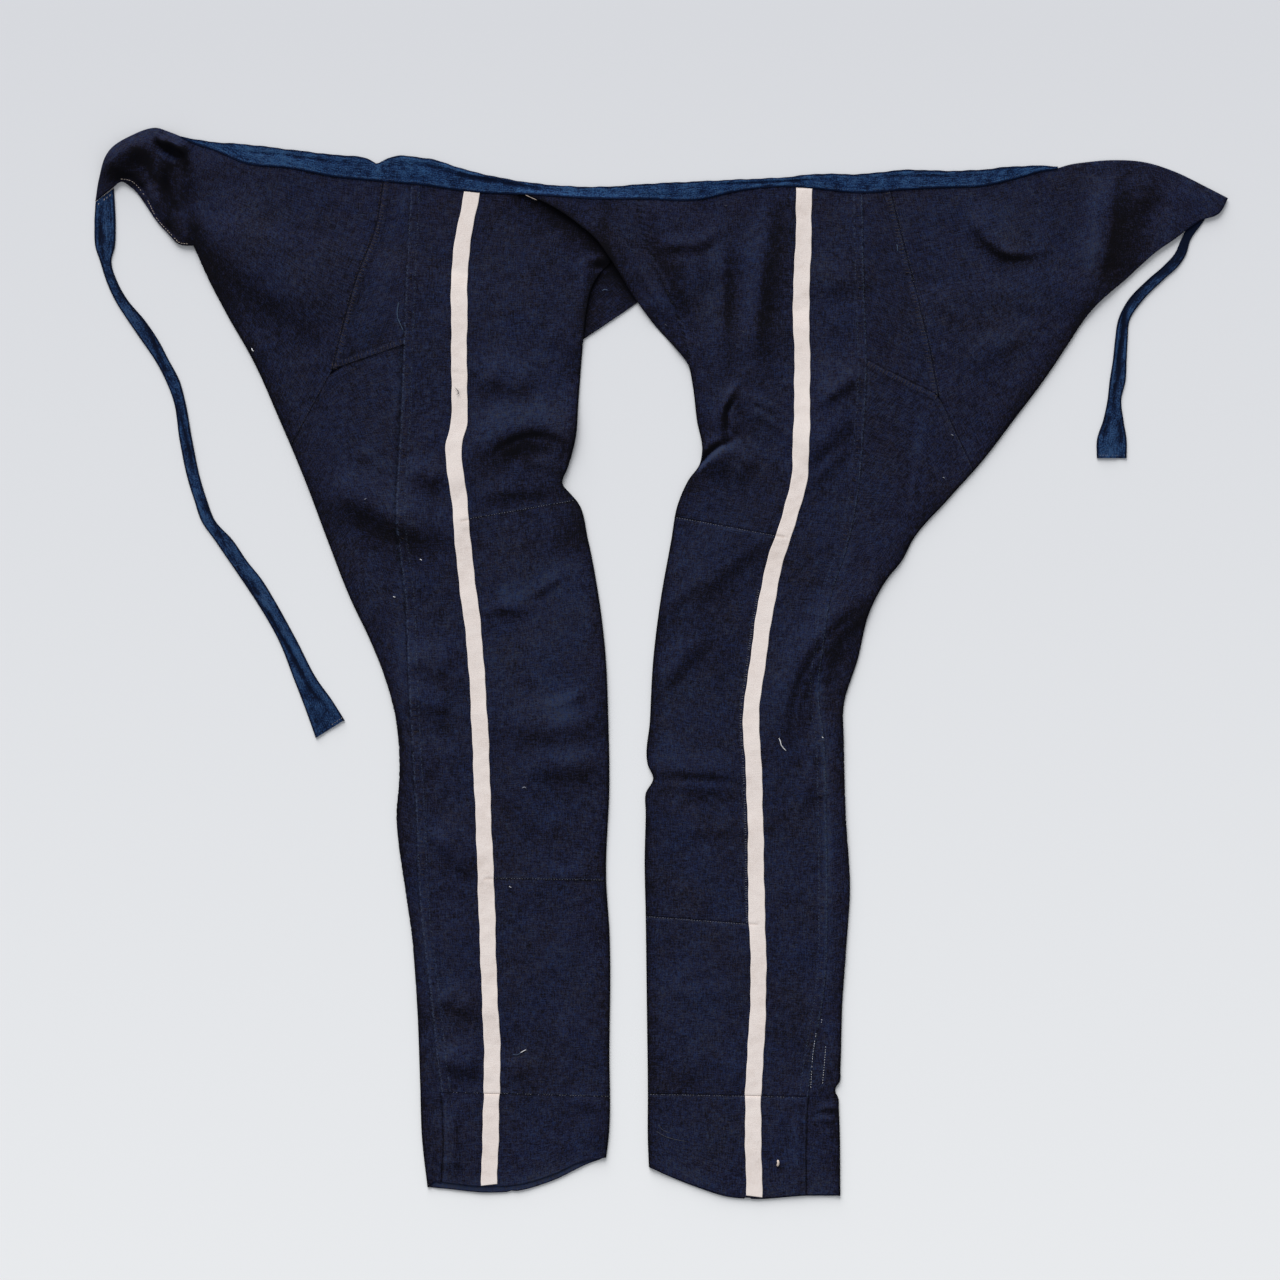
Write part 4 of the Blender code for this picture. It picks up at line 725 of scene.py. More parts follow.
def places(length, step, first=(0.0,), last=(0.0,)):
    """Distances along a stretch: the given ones from both ends, and even ones between them."""
    first, last = np.array(first), length - np.array(last)[::-1]
    count = max(2, round((last[0] - first[-1]) / step))
    return np.concatenate([first[:-1], np.linspace(first[-1], last[0], count + 1), last[1:]])


def patch(first, last, low=None, high=None, step=STEP, near_first=CLOSE, near_last=CLOSE):
    """Plan grid between two sides with equal rows; low and high are curved cross edges, else straight."""
    widths = np.linalg.norm(last - first, axis=1)
    typical = max(np.median(widths), 2.5 * (near_first[-1] + near_last[-1]))
    even = places(typical, step, near_first, near_last) / typical
    shares = []
    for width in widths:
        scale = max(width / typical, MM)
        crowd = min(1.0, 2 * width / typical)
        sides = ([gap * crowd / scale for gap in side] for side in (near_first, near_last))
        row = places(typical, step, *sides) / typical
        shares.append(row if len(row) == len(even) else even)
    shares = np.array(shares)
    v = evenly(len(first))[:, None, None]
    grid = (1 - shares[..., None]) * first[:, None] + shares[..., None] * last[:, None]
    for edge, row, weight in ((low, 0, 1 - v), (high, -1, v)):
        if edge is not None:
            grid = grid + weight * (at(edge, shares[row]) - grid[row])[None]
    return grid


def outward(edge, inner):
    """Unit normals of an edge in plan, away from the next row of points."""
    along = np.gradient(edge, axis=0)
    normal = np.stack([along[:, 1], -along[:, 0]], axis=1)
    normal /= np.linalg.norm(normal, axis=1)[:, None]
    side = np.sign(np.sum(normal * (inner - edge), axis=1))
    return -normal * side[:, None]


def pull(grid, sides, distance=SEAM_GAP / 2):
    """Moves sides of a plan grid inwards: first, last (columns), low, high (rows)."""
    edges = {"first": (grid[:, 0], grid[:, 1]), "last": (grid[:, -1], grid[:, -2]),
             "low": (grid[0], grid[1]), "high": (grid[-1], grid[-2])}
    moves = [(edges[side][0], distance * outward(*edges[side])) for side in sides]
    for edge, move in moves:
        edge -= move
    return grid


def beside(route, distance):
    """Route moved sideways, to its left hand."""
    step = np.gradient(route, axis=0)
    normal = np.stack([-step[:, 1], step[:, 0]], axis=1)
    return route + distance * normal / np.linalg.norm(normal, axis=1)[:, None]


# Heights

def boxed(points, low, high):
    """Which points lie in a box, as places in their list."""
    return np.flatnonzero(((points >= low) & (points <= high)).all(axis=1))


def near(points, route, reach):
    """Distance to a route, positive at its left hand, and distance along it, for the points within reach."""
    nearest = np.full(len(points), np.inf)
    signed, along = np.zeros(len(points)), np.zeros(len(points))
    around = boxed(points, route.min(axis=0) - reach, route.max(axis=0) + reach)
    if len(around) < 0.7 * len(points):
        if len(around):
            nearest[around], signed[around], along[around] = near(points[around], route, reach)
        return nearest, signed, along
    starts = lengths(route)
    for start, end, begin in zip(route, route[1:], starts):
        chosen = boxed(points, np.minimum(start, end) - reach, np.maximum(start, end) + reach)
        if not len(chosen):
            continue
        run = end - start
        local = points[chosen] - start
        share = np.clip(local @ run / (run @ run), 0, 1)
        off = local - share[:, None] * run
        gap = np.hypot(*off.T)
        closer = gap < nearest[chosen]
        chosen, gap, off, share = chosen[closer], gap[closer], off[closer], share[closer]
        nearest[chosen] = gap
        signed[chosen] = np.copysign(gap, run[0] * off[:, 1] - run[1] * off[:, 0])
        along[chosen] = begin + share * math.sqrt(run @ run)
    return nearest, signed, along


def ridge(points, height, upper, lower, route):
    """Soft ridge along a route, with a slope of its own on each side, lower towards both ends."""
    route = smooth(route, 5)
    nearest, signed, along = near(points, route, 3 * max(upper, lower))
    length = lengths(route)[-1]
    share = np.clip(np.minimum(along, length - along) / (TAPER * length), 0, 1)
    fade = END_SHARE + (1 - END_SHARE) * share**2 * (3 - 2 * share)
    return height * fade * soft(np.minimum(nearest, 1 / MM), np.where(signed > 0, upper, lower))


def covers(points, corners):
    """1 over an outline and for MARGIN round it, easing to 0 over the next RAMP."""
    nearest, inside = np.full(len(points), np.inf), np.zeros(len(points), bool)
    for start, end in zip(corners, np.roll(corners, -1, axis=0)):
        run = end - start
        if not run.any():
            continue
        share = np.clip((points - start) @ run / (run @ run), 0, 1)
        nearest = np.minimum(nearest, np.hypot(*(points - start - share[:, None] * run).T))
        if run[1]:
            crosses = (start[1] > points[:, 1]) != (end[1] > points[:, 1])
            inside ^= crosses & (points[:, 0] < start[0] + (points[:, 1] - start[1]) * run[0] / run[1])
    gap = np.clip((np.where(inside, 0.0, nearest) - MARGIN) / RAMP, 0, 1)
    return 0.5 + 0.5 * np.cos(math.pi * gap)


def ripples(points, waves=RIPPLES):
    """Sum of low waves in many directions."""
    random = np.random.default_rng(SEED)
    rise = np.zeros(len(points))
    for wavelength, height, count in waves:
        for _ in range(count):
            angle, phase = random.uniform(0, 2 * math.pi, 2)
            turns = 2 * math.pi / (wavelength * random.uniform(0.75, 1.35))
            run = points @ (math.cos(angle), math.sin(angle))
            rise += height / math.sqrt(count) * np.sin(turns * run + phase)
    return rise


class Map:
    """A value given on an even grid over the whole garment, read at any point."""

    def __init__(self, values, step):
        self.values, self.step = values, step

    @staticmethod
    def points(step):
        """Places of the values."""
        x, y = (np.arange(-extent, extent + step, step) for extent in MAP_EXTENT)
        return np.stack(np.meshgrid(x, y, indexing="ij"), axis=-1)

    def __call__(self, points):
        """The value at each point."""
        place = (points + MAP_EXTENT) / self.step
        cell = np.clip(np.floor(place).astype(int), 0, np.array(self.values.shape) - 2)
        i, j = cell.T
        u, v = (place - cell).T
        return ((1 - u) * (1 - v) * self.values[i, j] + u * (1 - v) * self.values[i + 1, j]
                + (1 - u) * v * self.values[i, j + 1] + u * v * self.values[i + 1, j + 1])


def support_map(supports):
    """Rise of the upper layer over what lies under it."""
    grid = Map.points(SUPPORT_STEP)
    flat = grid.reshape(-1, 2)
    rise = np.zeros(len(flat))
    for corners, layer in supports:
        rise = np.maximum(rise, layer * covers(flat, corners))
    return Map(rise.reshape(grid.shape[:2]), SUPPORT_STEP)


def relief_maps():
    """Folds, creases and ripples of the upper layer, and the painted shading of each place: painted light and
    painted shade.
    """
    grid = Map.points(MAP_STEP)
    flat = grid.reshape(-1, 2)
    folds = np.zeros(len(flat))
    for gain, lines in ((FOLD_GAIN, FOLDS), (CREASE_GAIN, CREASES)):
        for _, height, upper, lower, route in lines:
            folds += ridge(flat, gain * height, upper, lower, route)
    rise = (folds + ripples(flat)).reshape(grid.shape[:2])
    # Painted shading: slopes towards the window light painted paler, slopes away from it painted darker
    turn = math.radians(SHADING_TURN)
    slope_x, slope_y = np.gradient(rise, MAP_STEP)
    tone = SLOPE_SHADING_GAIN * (slope_x * math.sin(turn) - slope_y * math.cos(turn))
    # Painted shade and painted light along the routes of the table
    for amount, upper, lower, route in SHADES:
        tone += ridge(flat, SHADE_GAIN * amount, upper, lower, route).reshape(tone.shape)
    # Painted shade towards the folded outer and inner edges, with a narrow painted dark outline
    for lines in LINES.values():
        for name in ("outer", "inner"):
            nearest, _, _ = near(flat, smooth(lines[name]), 3 * EDGE_SHADE[1])
            for amount, reach in (EDGE_SHADE, RIM_SHADE_LINE):
                tone -= amount * soft(nearest, reach).reshape(tone.shape)
    return Map(rise, MAP_STEP), Map(tone, MAP_STEP)


class Seam:
    """A seam: its route, the width and side of the felled band, and how the sewing draws the cloth in."""

    def __init__(self, look, route, side=1):
        self.route, self.side = route, side
        self.width, self.depth, self.pucker, self.wear, self.line = SEAM_LOOKS[look]

    def relief(self, points):
        """Rise of the cloth, share of wear, and painted shading: shade in the groove and past the felled
        band, highlight beside the groove.
        """
        nearest, signed, along = near(points, self.route, SEAM_REACH)
        gap = signed * self.side
        share, place, width = SEAM_HIGHLIGHT
        rise = -self.depth * soft(nearest, GROOVE)
        tone = -self.line * soft(nearest, SEAM_SHADE_WIDTH) + share * self.line * soft(gap - place, width)
        wear = soft(gap - WEAR[0], WEAR[1])
        if self.width:
            up, down = (np.clip(distance * slope, -40, 40)
                        for distance, slope in zip((gap, gap - self.width), FELL_SLOPES))
            rise += FELL_RISE / (1 + np.exp(-up)) / (1 + np.exp(down))
            depth, place, width = FELL_GROOVE
            rise -= depth * soft(gap - self.width + place, width)
            share, place, width = FELL_SHADE
            tone -= share * self.line * soft(gap - self.width - place, width)
            share, place, width = FELL_WEAR
            wear = np.maximum(wear, share * soft(gap - self.width + place, width))
        short, long, wander = PUCKER_LENGTHS
        waves = np.sin(along / short + 2 * np.sin(along / wander)) + 0.8 * np.sin(along / long + 1.3)
        rise += self.pucker * waves * soft(nearest, PUCKER_REACH)
        close = nearest < SEAM_REACH
        return (np.where(close, value, 0.0) for value in (rise, self.wear * wear, tone))


def height(points, crossing=False):
    """Height of the middle of the upper layer over plan points, with its painted shading and wear."""
    flat = points.reshape(-1, 2)
    rise = SUPPORT(flat) + RELIEF(flat)
    painted_shade, wear = PAINTED_SHADING(flat), np.zeros(len(flat))
    if crossing:
        rise += CROSSING * CROSSED(flat)
        lifted, width, route = CROSSING_LIFT
        rise += ridge(flat, lifted, width, width, route)
    for seam in SEAMS:
        # Seams add painted shade in their grooves
        more, worn, line = seam.relief(flat)
        rise += more
        painted_shade += line
        wear = np.maximum(wear, worn)
    shape = points.shape[:-1]
    return (FOOT + np.maximum(rise, 0.0)).reshape(shape), painted_shade.reshape(shape), wear.reshape(shape)


# Cloth pieces

class Grid:
    """A grid of points with the painted shading and wear of the cloth at each, and its place in the weave."""

    def __init__(self, points, painted_shade=None, wear=None):
        self.points = points
        self.painted_shade = np.zeros(points.shape[:2]) if painted_shade is None else painted_shade
        self.wear = np.zeros(points.shape[:2]) if wear is None else wear
        across, up = (np.cumsum(np.linalg.norm(np.diff(points[..., :2], axis=axis), axis=2), axis=axis)
                      for axis in (1, 0))
        across = np.pad(across, ((0, 0), (1, 0)))
        up = np.pad(up, ((1, 0), (0, 0))).mean(axis=1, keepdims=True)
        self.weave = np.stack([across, np.broadcast_to(up, across.shape)], axis=-1)


def raised(plan, crossing=False):
    """Plan grid with the heights of the upper layer."""
    z, painted_shade, wear = height(plan, crossing)
    return Grid(np.concatenate([plan, z[..., None]], axis=-1), painted_shade, wear)


def laid(plan, still=("first",)):
    """Plan grid on the surface, with low ripples that fade out at the folded sides."""
    flat = plan.reshape(-1, 2)
    folds = UNDER_FOLDS * np.clip(RELIEF(flat), 0, UNDER_FOLD_MOST)
    rise = (np.abs(ripples(flat * (1, -1), UNDER_RIPPLES)) + folds).reshape(plan.shape[:2])
    sides = {"first": plan[:, :1], "last": plan[:, -1:], "low": plan[:1]}
    for side in still:
        rise = rise * np.clip(np.linalg.norm(plan - sides[side], axis=2) / UNDER_FADE, 0, 1)
    # Painted shading of the upper layer, weaker, and shifted darker as painted shade
    share, shift = UNDER_SHADING
    z = FOOT + np.minimum(rise, UNDER_MOST)
    return Grid(np.concatenate([plan, z[..., None]], axis=-1),
                share * PAINTED_SHADING(flat).reshape(plan.shape[:2]) + shift)


def roll(edge, away):
    """Folded edge: the base that both layers end at, and the strip that rounds from one to the other."""
    base = edge - away * FOLD_INSET
    top, painted_shade, wear = height(base)
    middle, half = (top + FOOT) / 2, (top - FOOT) / 2
    strip = []
    for step in range(FOLD_STEPS + 1):
        turn = math.pi * step / FOLD_STEPS
        out = base + away * FOLD_BULGE * math.sin(turn)
        strip.append(np.column_stack([out, middle + half * math.cos(turn)]))
    fade = np.linspace(1, 0, FOLD_STEPS + 1)[:, None]
    # Painted shade round the fold: darker towards the underside, darkest where the edge turns under
    tone = painted_shade * fade - FOLD_UNDER_SHADE * (1 - fade) - RIM_TURN_SHADE * np.sin(math.pi * (1 - fade))
    return base, Grid(np.array(strip), tone, wear * fade)


def quads(rows, columns, first=0):
    """Faces of a grid of points."""
    index = first + np.arange(rows * columns).reshape(rows, columns)
    return np.stack([index[:-1, :-1], index[:-1, 1:], index[1:, 1:], index[1:, :-1]], axis=-1).reshape(-1, 4)


def make_mesh(name, points, faces, attributes=None, weave=None):
    """Mesh from arrays of points in millimetres and faces, with point attributes and a place in the weave."""
    mesh = bpy.data.meshes.new(name)
    mesh.from_pydata(points * MM, [], faces)
    for label, values in (attributes or {}).items():
        mesh.attributes.new(label, "FLOAT", "POINT").data.foreach_set("value", values.astype(np.float32))
    if weave is not None:
        corners = np.empty(len(mesh.loops), np.int32)
        mesh.loops.foreach_get("vertex_index", corners)
        place = (weave[corners] * MM).astype(np.float32).ravel()
        mesh.uv_layers.new(name="weave").data.foreach_set("uv", place)
    return mesh


def linked(name, data):
    """Object of the scene from its data."""
    made = bpy.data.objects.new(name, data)
    bpy.context.scene.collection.objects.link(made)
    return made


def shown(name, mesh, material):
    """Object of the scene from a mesh, smooth and in its material."""
    mesh.materials.append(material)
    mesh.shade_smooth()
    return linked(name, mesh)


def skin(name, grids, finish, closed=False):
    """Joined grids as an object, with its area. A closed one gets faces over its open ends."""
    faces, first = [], 0
    for grid in grids:
        rows, columns = grid.points.shape[:2]
        faces.append(quads(rows, columns, first))
        first += rows * columns
    values = {label: np.concatenate([getattr(grid, label).ravel() for grid in grids])
              for label in ("painted_shade", "wear")}
    points = np.concatenate([grid.points.reshape(-1, 3) for grid in grids])
    weave = np.concatenate([grid.weave.reshape(-1, 2) for grid in grids])
    mesh = make_mesh(name, points, np.concatenate(faces).tolist(), values, weave)
    shape = bmesh.new()
    shape.from_mesh(mesh)
    bmesh.ops.remove_doubles(shape, verts=shape.verts, dist=MERGE)
    if closed:
        bmesh.ops.holes_fill(shape, edges=[edge for edge in shape.edges if edge.is_boundary])
    bmesh.ops.recalc_face_normals(shape, faces=shape.faces)
    area = sum(face.calc_area() for face in shape.faces)
    shape.to_mesh(mesh)
    shape.free()
    return shown(name, mesh, MATERIALS[finish]), area


def declare(piece, node_name, flat):
    """Attaches a piece of cloth to the root and hides the part of the model that it replaces."""
    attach(piece, "root")
    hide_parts(node_name)


def flat_size(grids):
    """Width and length in metres of the rectangle that a piece is cut from."""
    def longest(grid, axis):
        """Length of the longest row or column."""
        return np.linalg.norm(np.diff(grid.points[..., :2], axis=axis), axis=2).sum(axis=axis).max()

    layers = [grid for grid in grids if len(grid.points) != FOLD_STEPS + 1]
    return sum(longest(grid, 1) for grid in layers) * MM, max(longest(grid, 0) for grid in grids) * MM


def cloth(node_name, grids, finish="indigo", wall=WALL, flat=None):
    """One sewn piece: an open surface of joined grids, with the wall of its cloth."""
    name = f"{node_name}_{'tape' if finish == 'tape' else 'cloth'}"
    piece, area = skin(name, grids, finish)
    thickness = piece.modifiers.new("wall", "SOLIDIFY")
    thickness.thickness = wall * MM
    thickness.offset = 0.0
    thickness.use_even_offset = False
    declare(piece, node_name, flat or flat_size(grids))


def folded_strip(node_name, grid, finish, flat):
    """A strip folded double: closed skin from a ring grid, with flat ends."""
    piece, area = skin(f"{node_name}_cloth", [grid], finish, closed=True)
    piece.data.set_sharp_from_angle(angle=math.radians(CORNER))
    declare(piece, node_name, flat)


class Half:
    """One half of the garment: its lines, its levels and its outline."""

    def __init__(self, side):
        self.side = side
        self.inward = -1 if side == "l" else 1
        self.curves = {name: smooth(points) for name, points in LINES[side].items()}
        self.gore_seam = smooth(GORE_SEAM[side])
        self.seat_low = np.array(self.point("outer", "crotch"))
        self.seat_end = np.array(LINES[side]["outer"][0], float)
        crotch = np.array([self.point("inner", "crotch")])
        self.crotch_end = (crotch - self.away("inner", crotch) * (FOLD_INSET + 2 * SEAM_GAP))[0]
        self.free_edge = smooth((*FREE_EDGE[side], self.crotch_end))

    def height(self, line, name):
        """Height in Y at which a line down the leg meets a level."""
        return LEVELS[self.side][name][LEVEL_COLUMNS.index(line)]

    def point(self, line, name):
        """Where a line down the leg meets a level."""
        y = self.height(line, name)
        curve = self.curves[line]
        order = np.argsort(curve[:, 1])
        return (np.interp(y, curve[order, 1], curve[order, 0]), y)

    def away(self, line, points):
        """Unit normals of the outer or inner line at points on it, away from the leg."""
        curve = self.curves[line][::-1]
        below, above = (np.interp(points[:, 1] + shift, curve[:, 1], curve[:, 0])
                        for shift in (-NORMAL_REACH, NORMAL_REACH))
        normal = np.column_stack([np.full(len(points), 2 * NORMAL_REACH), below - above])
        normal /= np.linalg.norm(normal, axis=1)[:, None]
        return normal if (line == "inner") == (self.side == "l") else -normal

    def shares(self, lower, upper):
        """Shares at which the rows of a stretch lie between two levels, closer at the seams."""
        length = self.height("stripe", upper) - self.height("stripe", lower)
        return places(length, STEP, CLOSE, CLOSE) / length

    def run(self, line, start, end):
        """Points down to up along a line between two levels, with the rows of every stretch between."""
        parts = []
        names = [stretch[0] for stretch in STRETCHES] + [STRETCHES[-1][1]]
        for lower, upper in STRETCHES[names.index(start):names.index(end)]:
            part = between(self.curves[line], self.height(line, lower), self.height(line, upper),
                           self.shares(lower, upper), 1)
            parts.append(part if not parts else part[1:])
        return np.concatenate(parts)

    def outline(self):
        """Outline of the lower layer, round the leg and along the free edge of the seat panel."""
        hem, crotch = (self.height("inner", name) for name in ("hem", "crotch"))
        outer = between(self.curves["outer"], self.seat_end[1], self.height("outer", "hem"), evenly(60), 1)
        inner = between(self.curves["inner"], hem, crotch, evenly(60), 1)
        return np.concatenate([outer, inner, self.free_edge[::-1][1:-1]])

    def across(self, name, *lines):
        """Seam across the leg at a level, through the given lines."""
        return np.array([self.point(line, name) for line in lines or ("stripe", "inner")])

    def foot_seam(self):
        """Seam across the lower end of the gore."""
        return np.array([self.gore_seam[-1], self.point("side", "crotch")])

    def low_seam(self):
        """Seam from the outer fold to the gore, which joins the seat panel to the back of the leg."""
        return np.array([self.seat_low, self.gore_seam[-1]])


def top_edge(start, end, count=60):
    """Lower seam of the band from one place in X to another."""
    return between(BAND_CURVE, start, end, evenly(count), 0)


def front_panels(half):
    """Outer front from the side seam to the stripe, and the gore at its outer side. Gives their top edges."""
    tops = []
    side, stripe = half.run("side", "ankle", "waist"), half.run("stripe", "ankle", "waist")
    short_side = half.run("side", "crotch", "waist")
    gore = at(half.gore_seam[::-1], half.shares("crotch", "waist"))
    for name, first, last, under, count in (("front", side, stripe, "back_leg", 60),
                                            ("gore", gore, short_side, "seat", 30)):
        grid = patch(first, last, high=top_edge(first[-1, 0], last[-1, 0], count))
        tops.append(grid[-1].copy())
        grid = raised(pull(grid, ("first", "last", "low", "high")))
        cloth(f"{name}_{half.side}", [grid])
    return tops


def back_grid(base, line):
    """Plan grid of a back layer from a folded edge to the back seam."""
    back = patch(base, line, step=UNDER_STEP, near_first=(0.0,), near_last=(0.0, 1.0))
    back = pull(back, ("last",))
    back[0, 1:] = pull(back.copy(), ("low",))[0, 1:]
    back[-1, 1:] = pull(back.copy(), ("high",))[-1, 1:]
    return back


def upper_front(half):
    """Upper front from the stripe round the inner fold to the back seam. Gives its top edge."""
    stripe, edge = half.run("stripe", "knee", "waist"), half.run("inner", "knee", "waist")
    grid = patch(stripe, edge, high=top_edge(stripe[-1, 0], edge[-1, 0]))
    top = grid[-1].copy()
    wrap_inner(half, "inner", grid, "knee", "crotch", half is RIGHT)
    return top


def lower_panels(half):
    """Knee and shin pieces from the stripe round the inner fold to the back seam."""
    for name, start, end in (("knee", "calf", "knee"), ("shin", "ankle", "calf")):
        grid = patch(half.run("stripe", start, end), half.run("inner", start, end))
        wrap_inner(half, name, grid, start, end)


def wrap_inner(half, name, grid, start, end, crossing=False):
    """Makes a piece whose upper layer is the grid and whose lower one starts at its inner fold."""
    count = len(half.run("inner", start, end))
    grid = pull(grid, ("first", "low", "high"))
    edge = grid[:count, -1].copy()
    base, strip = roll(edge, half.away("inner", edge))
    grid[:count, -1] = base
    if name == "inner" and half is LEFT:
        grid[-1, grid[-1, :, 0] > CROSSING_START[0], 1] -= TUCK
    back = back_grid(base, half.run("back", start, end))
    cloth(f"{name}_{half.side}", [raised(grid, crossing), strip, laid(back)])


def back_leg(half):
    """Back of the leg: from the side seam round the outer fold to the back seam."""
    outer, side = half.run("outer", "ankle", "crotch"), half.run("side", "ankle", "crotch")
    top = at([outer[-1], half.gore_seam[-1], side[-1]], evenly(60))
    grid = pull(patch(outer, side, high=top), ("last", "low", "high"))
    edge = grid[:, 0].copy()
    base, strip = roll(edge, half.away("outer", edge))
    grid[:, 0] = base
    back = back_grid(base, half.run("back", "ankle", "crotch"))
    cloth(f"back_leg_{half.side}", [raised(grid), strip, laid(back)])


def above_hem(plan, side, ends=1):
    """Plan grid of the front of a cuff with its lowest rows moved up, so that the back shows below them."""
    down = np.clip(1 - (plan[:, :, 1] - plan[0, :, 1]) / HEM_RAMP, 0, 1)
    plan[..., 1] += HEM_PEEK[side] * down * ends
    return plan


def cuff(half):
    """Cuff: one band round the ankle with its seam on the side line."""
    hem = smooth(HEM[half.side])
    lines = {name: half.run(name, "hem", "ankle") for name in LEVEL_COLUMNS}

    def part(first, last, **options):
        """Plan grid between two lines, down to the hem."""
        low = between(hem, first[0, 0], last[0, 0], evenly(60), 0)
        low[0], low[-1] = first[0], last[0]
        return patch(first, last, low=low, **options)

    def upper(grid, sides, line, column):
        """Raised front layer whose column is a folded edge, the base of that edge and its rounded strip."""
        grid = pull(grid, sides)
        gap = np.abs(grid[:, :, 0] - grid[:, column, 0][:, None])
        grid = above_hem(grid, half.side, np.clip(gap / HEM_ENDS[line], 0, 1))
        edge = grid[:, column].copy()
        base, strip = roll(edge, half.away(line, edge))
        grid[:, column] = base
        return raised(grid), base, strip

    front = part(lines["side"], lines["stripe"]), part(lines["stripe"], lines["inner"])[:, 1:]
    front, inner_base, inner_strip = upper(np.concatenate(front, axis=1), ("first", "high"), "inner", -1)
    rest, outer_base, outer_strip = upper(part(lines["outer"], lines["side"]), ("last", "high"), "outer", 0)
    middle = lines["back"]
    middle[-1, 1] -= SEAM_GAP / 2
    options = {"step": UNDER_STEP, "near_first": (0.0,), "near_last": (0.0,)}
    back = part(inner_base, middle, **options), part(middle, outer_base, **options)[:, 1:]
    back = laid(np.concatenate(back, axis=1), ("first", "last"))
    band = back.points[:, :, 1] - back.points[0, :, 1]
    ends = np.minimum(np.arange(band.shape[1]), np.arange(band.shape[1])[::-1])
    back.points[..., 2] += HEM_LIFT * soft(band, HEM_ROLL) * np.clip(ends / 2, 0, 1)
    # Painted light and wear on the back hem, painted shade along its lowest line
    back.painted_shade += HEM_LIGHT_AND_WEAR[0] * soft(band, HEM_LIGHT_AND_WEAR[1]) - HEM_SHADE_LINE[0] * soft(band, HEM_SHADE_LINE[1])
    cloth(f"cuff_{half.side}", [front, inner_strip, back, outer_strip, rest])


def stripes(half):
    """Tape that covers the seam along the front of the leg, and its continuation on the cuff."""
    for name, start, end, top_gap in (("stripe", "ankle", "waist", STRIPE_TOP_GAP),
                                      ("cuff_stripe", "hem", "ankle", SEAM_GAP / 2)):
        middle, *neighbours = (half.run(line, start, end) for line in ("stripe", "side", "inner"))
        along = lengths(middle)
        sides = []
        for shift, neighbour in enumerate(neighbours):
            across = (neighbour - middle) / np.linalg.norm(neighbour - middle, axis=1)[:, None]
            wander = sum(size * np.sin(along / length + turn * shift) for length, turn, size in STRIPE_WANDER)
            sides.append(middle + across * (STRIPE_WIDTH / 2 + wander)[:, None])
        plan = patch(sides[0], sides[1], near_first=CLOSE_TAPE, near_last=CLOSE_TAPE)
        plan = pull(pull(plan, ("low",)), ("high",), top_gap)
        if name == "cuff_stripe":
            plan = above_hem(plan, half.side)
        grid = raised(plan)
        grid.points[..., 2] += (WALL + TAPE_WALL) / 2 + TAPE_GAP
        cloth(f"{name}_{half.side}", [grid], "tape", TAPE_WALL)


def seat_under(half, base):
    """Plan grid of the hidden half of a seat panel, from its folded edge under the front to the crotch."""
    crotch, end = np.array(half.point("back", "crotch")), half.crotch_end
    shares = evenly(31)
    across = lengths(base) / lengths(base)[-1]
    first, last = at([base[0], crotch], shares), at(half.free_edge, shares)
    under = first[:, None] * (1 - across)[None, :, None] + last[:, None] * across[None, :, None]
    v = shares[:, None, None]
    under += (1 - v) * (base - under[0])[None] + v * (at([crotch, end], across) - under[-1])[None]
    under[1:] = pull(under.copy(), ("first", "high"))[1:]
    under[0] = base
    return under


def turned_end(seam, rows):
    """End of the left seat panel that is turned over, from the edge of the panel."""
    shares = evenly(rows)
    turn = patch(at(smooth(TURN_CREASE), shares), at([TURN_LOW[-1], TURN_TOP[-1]], shares),
                 low=smooth(TURN_LOW), high=smooth(TURN_TOP), near_first=(0.0,), near_last=(0.0,))
    turn[:, 0] = seam
    turn = raised(pull(turn, ("last",)))
    # Painted light capped, and the end shifted darker for its inside face and painted shade
    turn.painted_shade = np.minimum(turn.painted_shade, TURN_LIGHT_MOST) + TURN_SHADE
    return turn


def seat(half):
    """Seat panel, from the gore to the end of the band and round the folded edge. Gives its top edge."""
    low = half.low_seam()
    low_part = at(low, places(1.0, STEP / np.linalg.norm(low[1] - low[0])))
    rising = np.concatenate([low_part, at(half.gore_seam[::-1], half.shares("crotch", "waist"))[1:]])
    if half is LEFT:
        end_line, top_line, top_end = TURN_CREASE, BAND_CURVE, TURN_TOP[0]
    else:
        end_line, top_line = POINT_LOW, np.concatenate([BAND_CURVE[:-1], smooth(POINT_TOP)])
        top_end = POINT_TOP[-1]
    fold_line = between(half.curves["outer"], half.seat_low[1], half.seat_end[1], evenly(90), 1)
    top = between(top_line, rising[-1, 0], top_end[0], evenly(90), 0)
    grid = patch(rising, at(smooth(end_line), evenly(len(rising))), low=fold_line, high=top, near_last=(0.0,))
    top = grid[-1].copy()
    edge = grid[0].copy()
    base, strip = roll(edge, half.away("outer", edge))
    grid[0] = base
    main = raised(pull(grid, ("first", "high")))
    strip.points[0] = main.points[0]
    grids = [main, strip]
    if half is LEFT:
        grids.append(turned_end(main.points[:, -1, :2], len(rising)))
    grids.append(laid(seat_under(half, base), ("low",)))
    cloth(f"seat_{half.side}", grids, flat=SEAT_CUT[half.side])
    return top


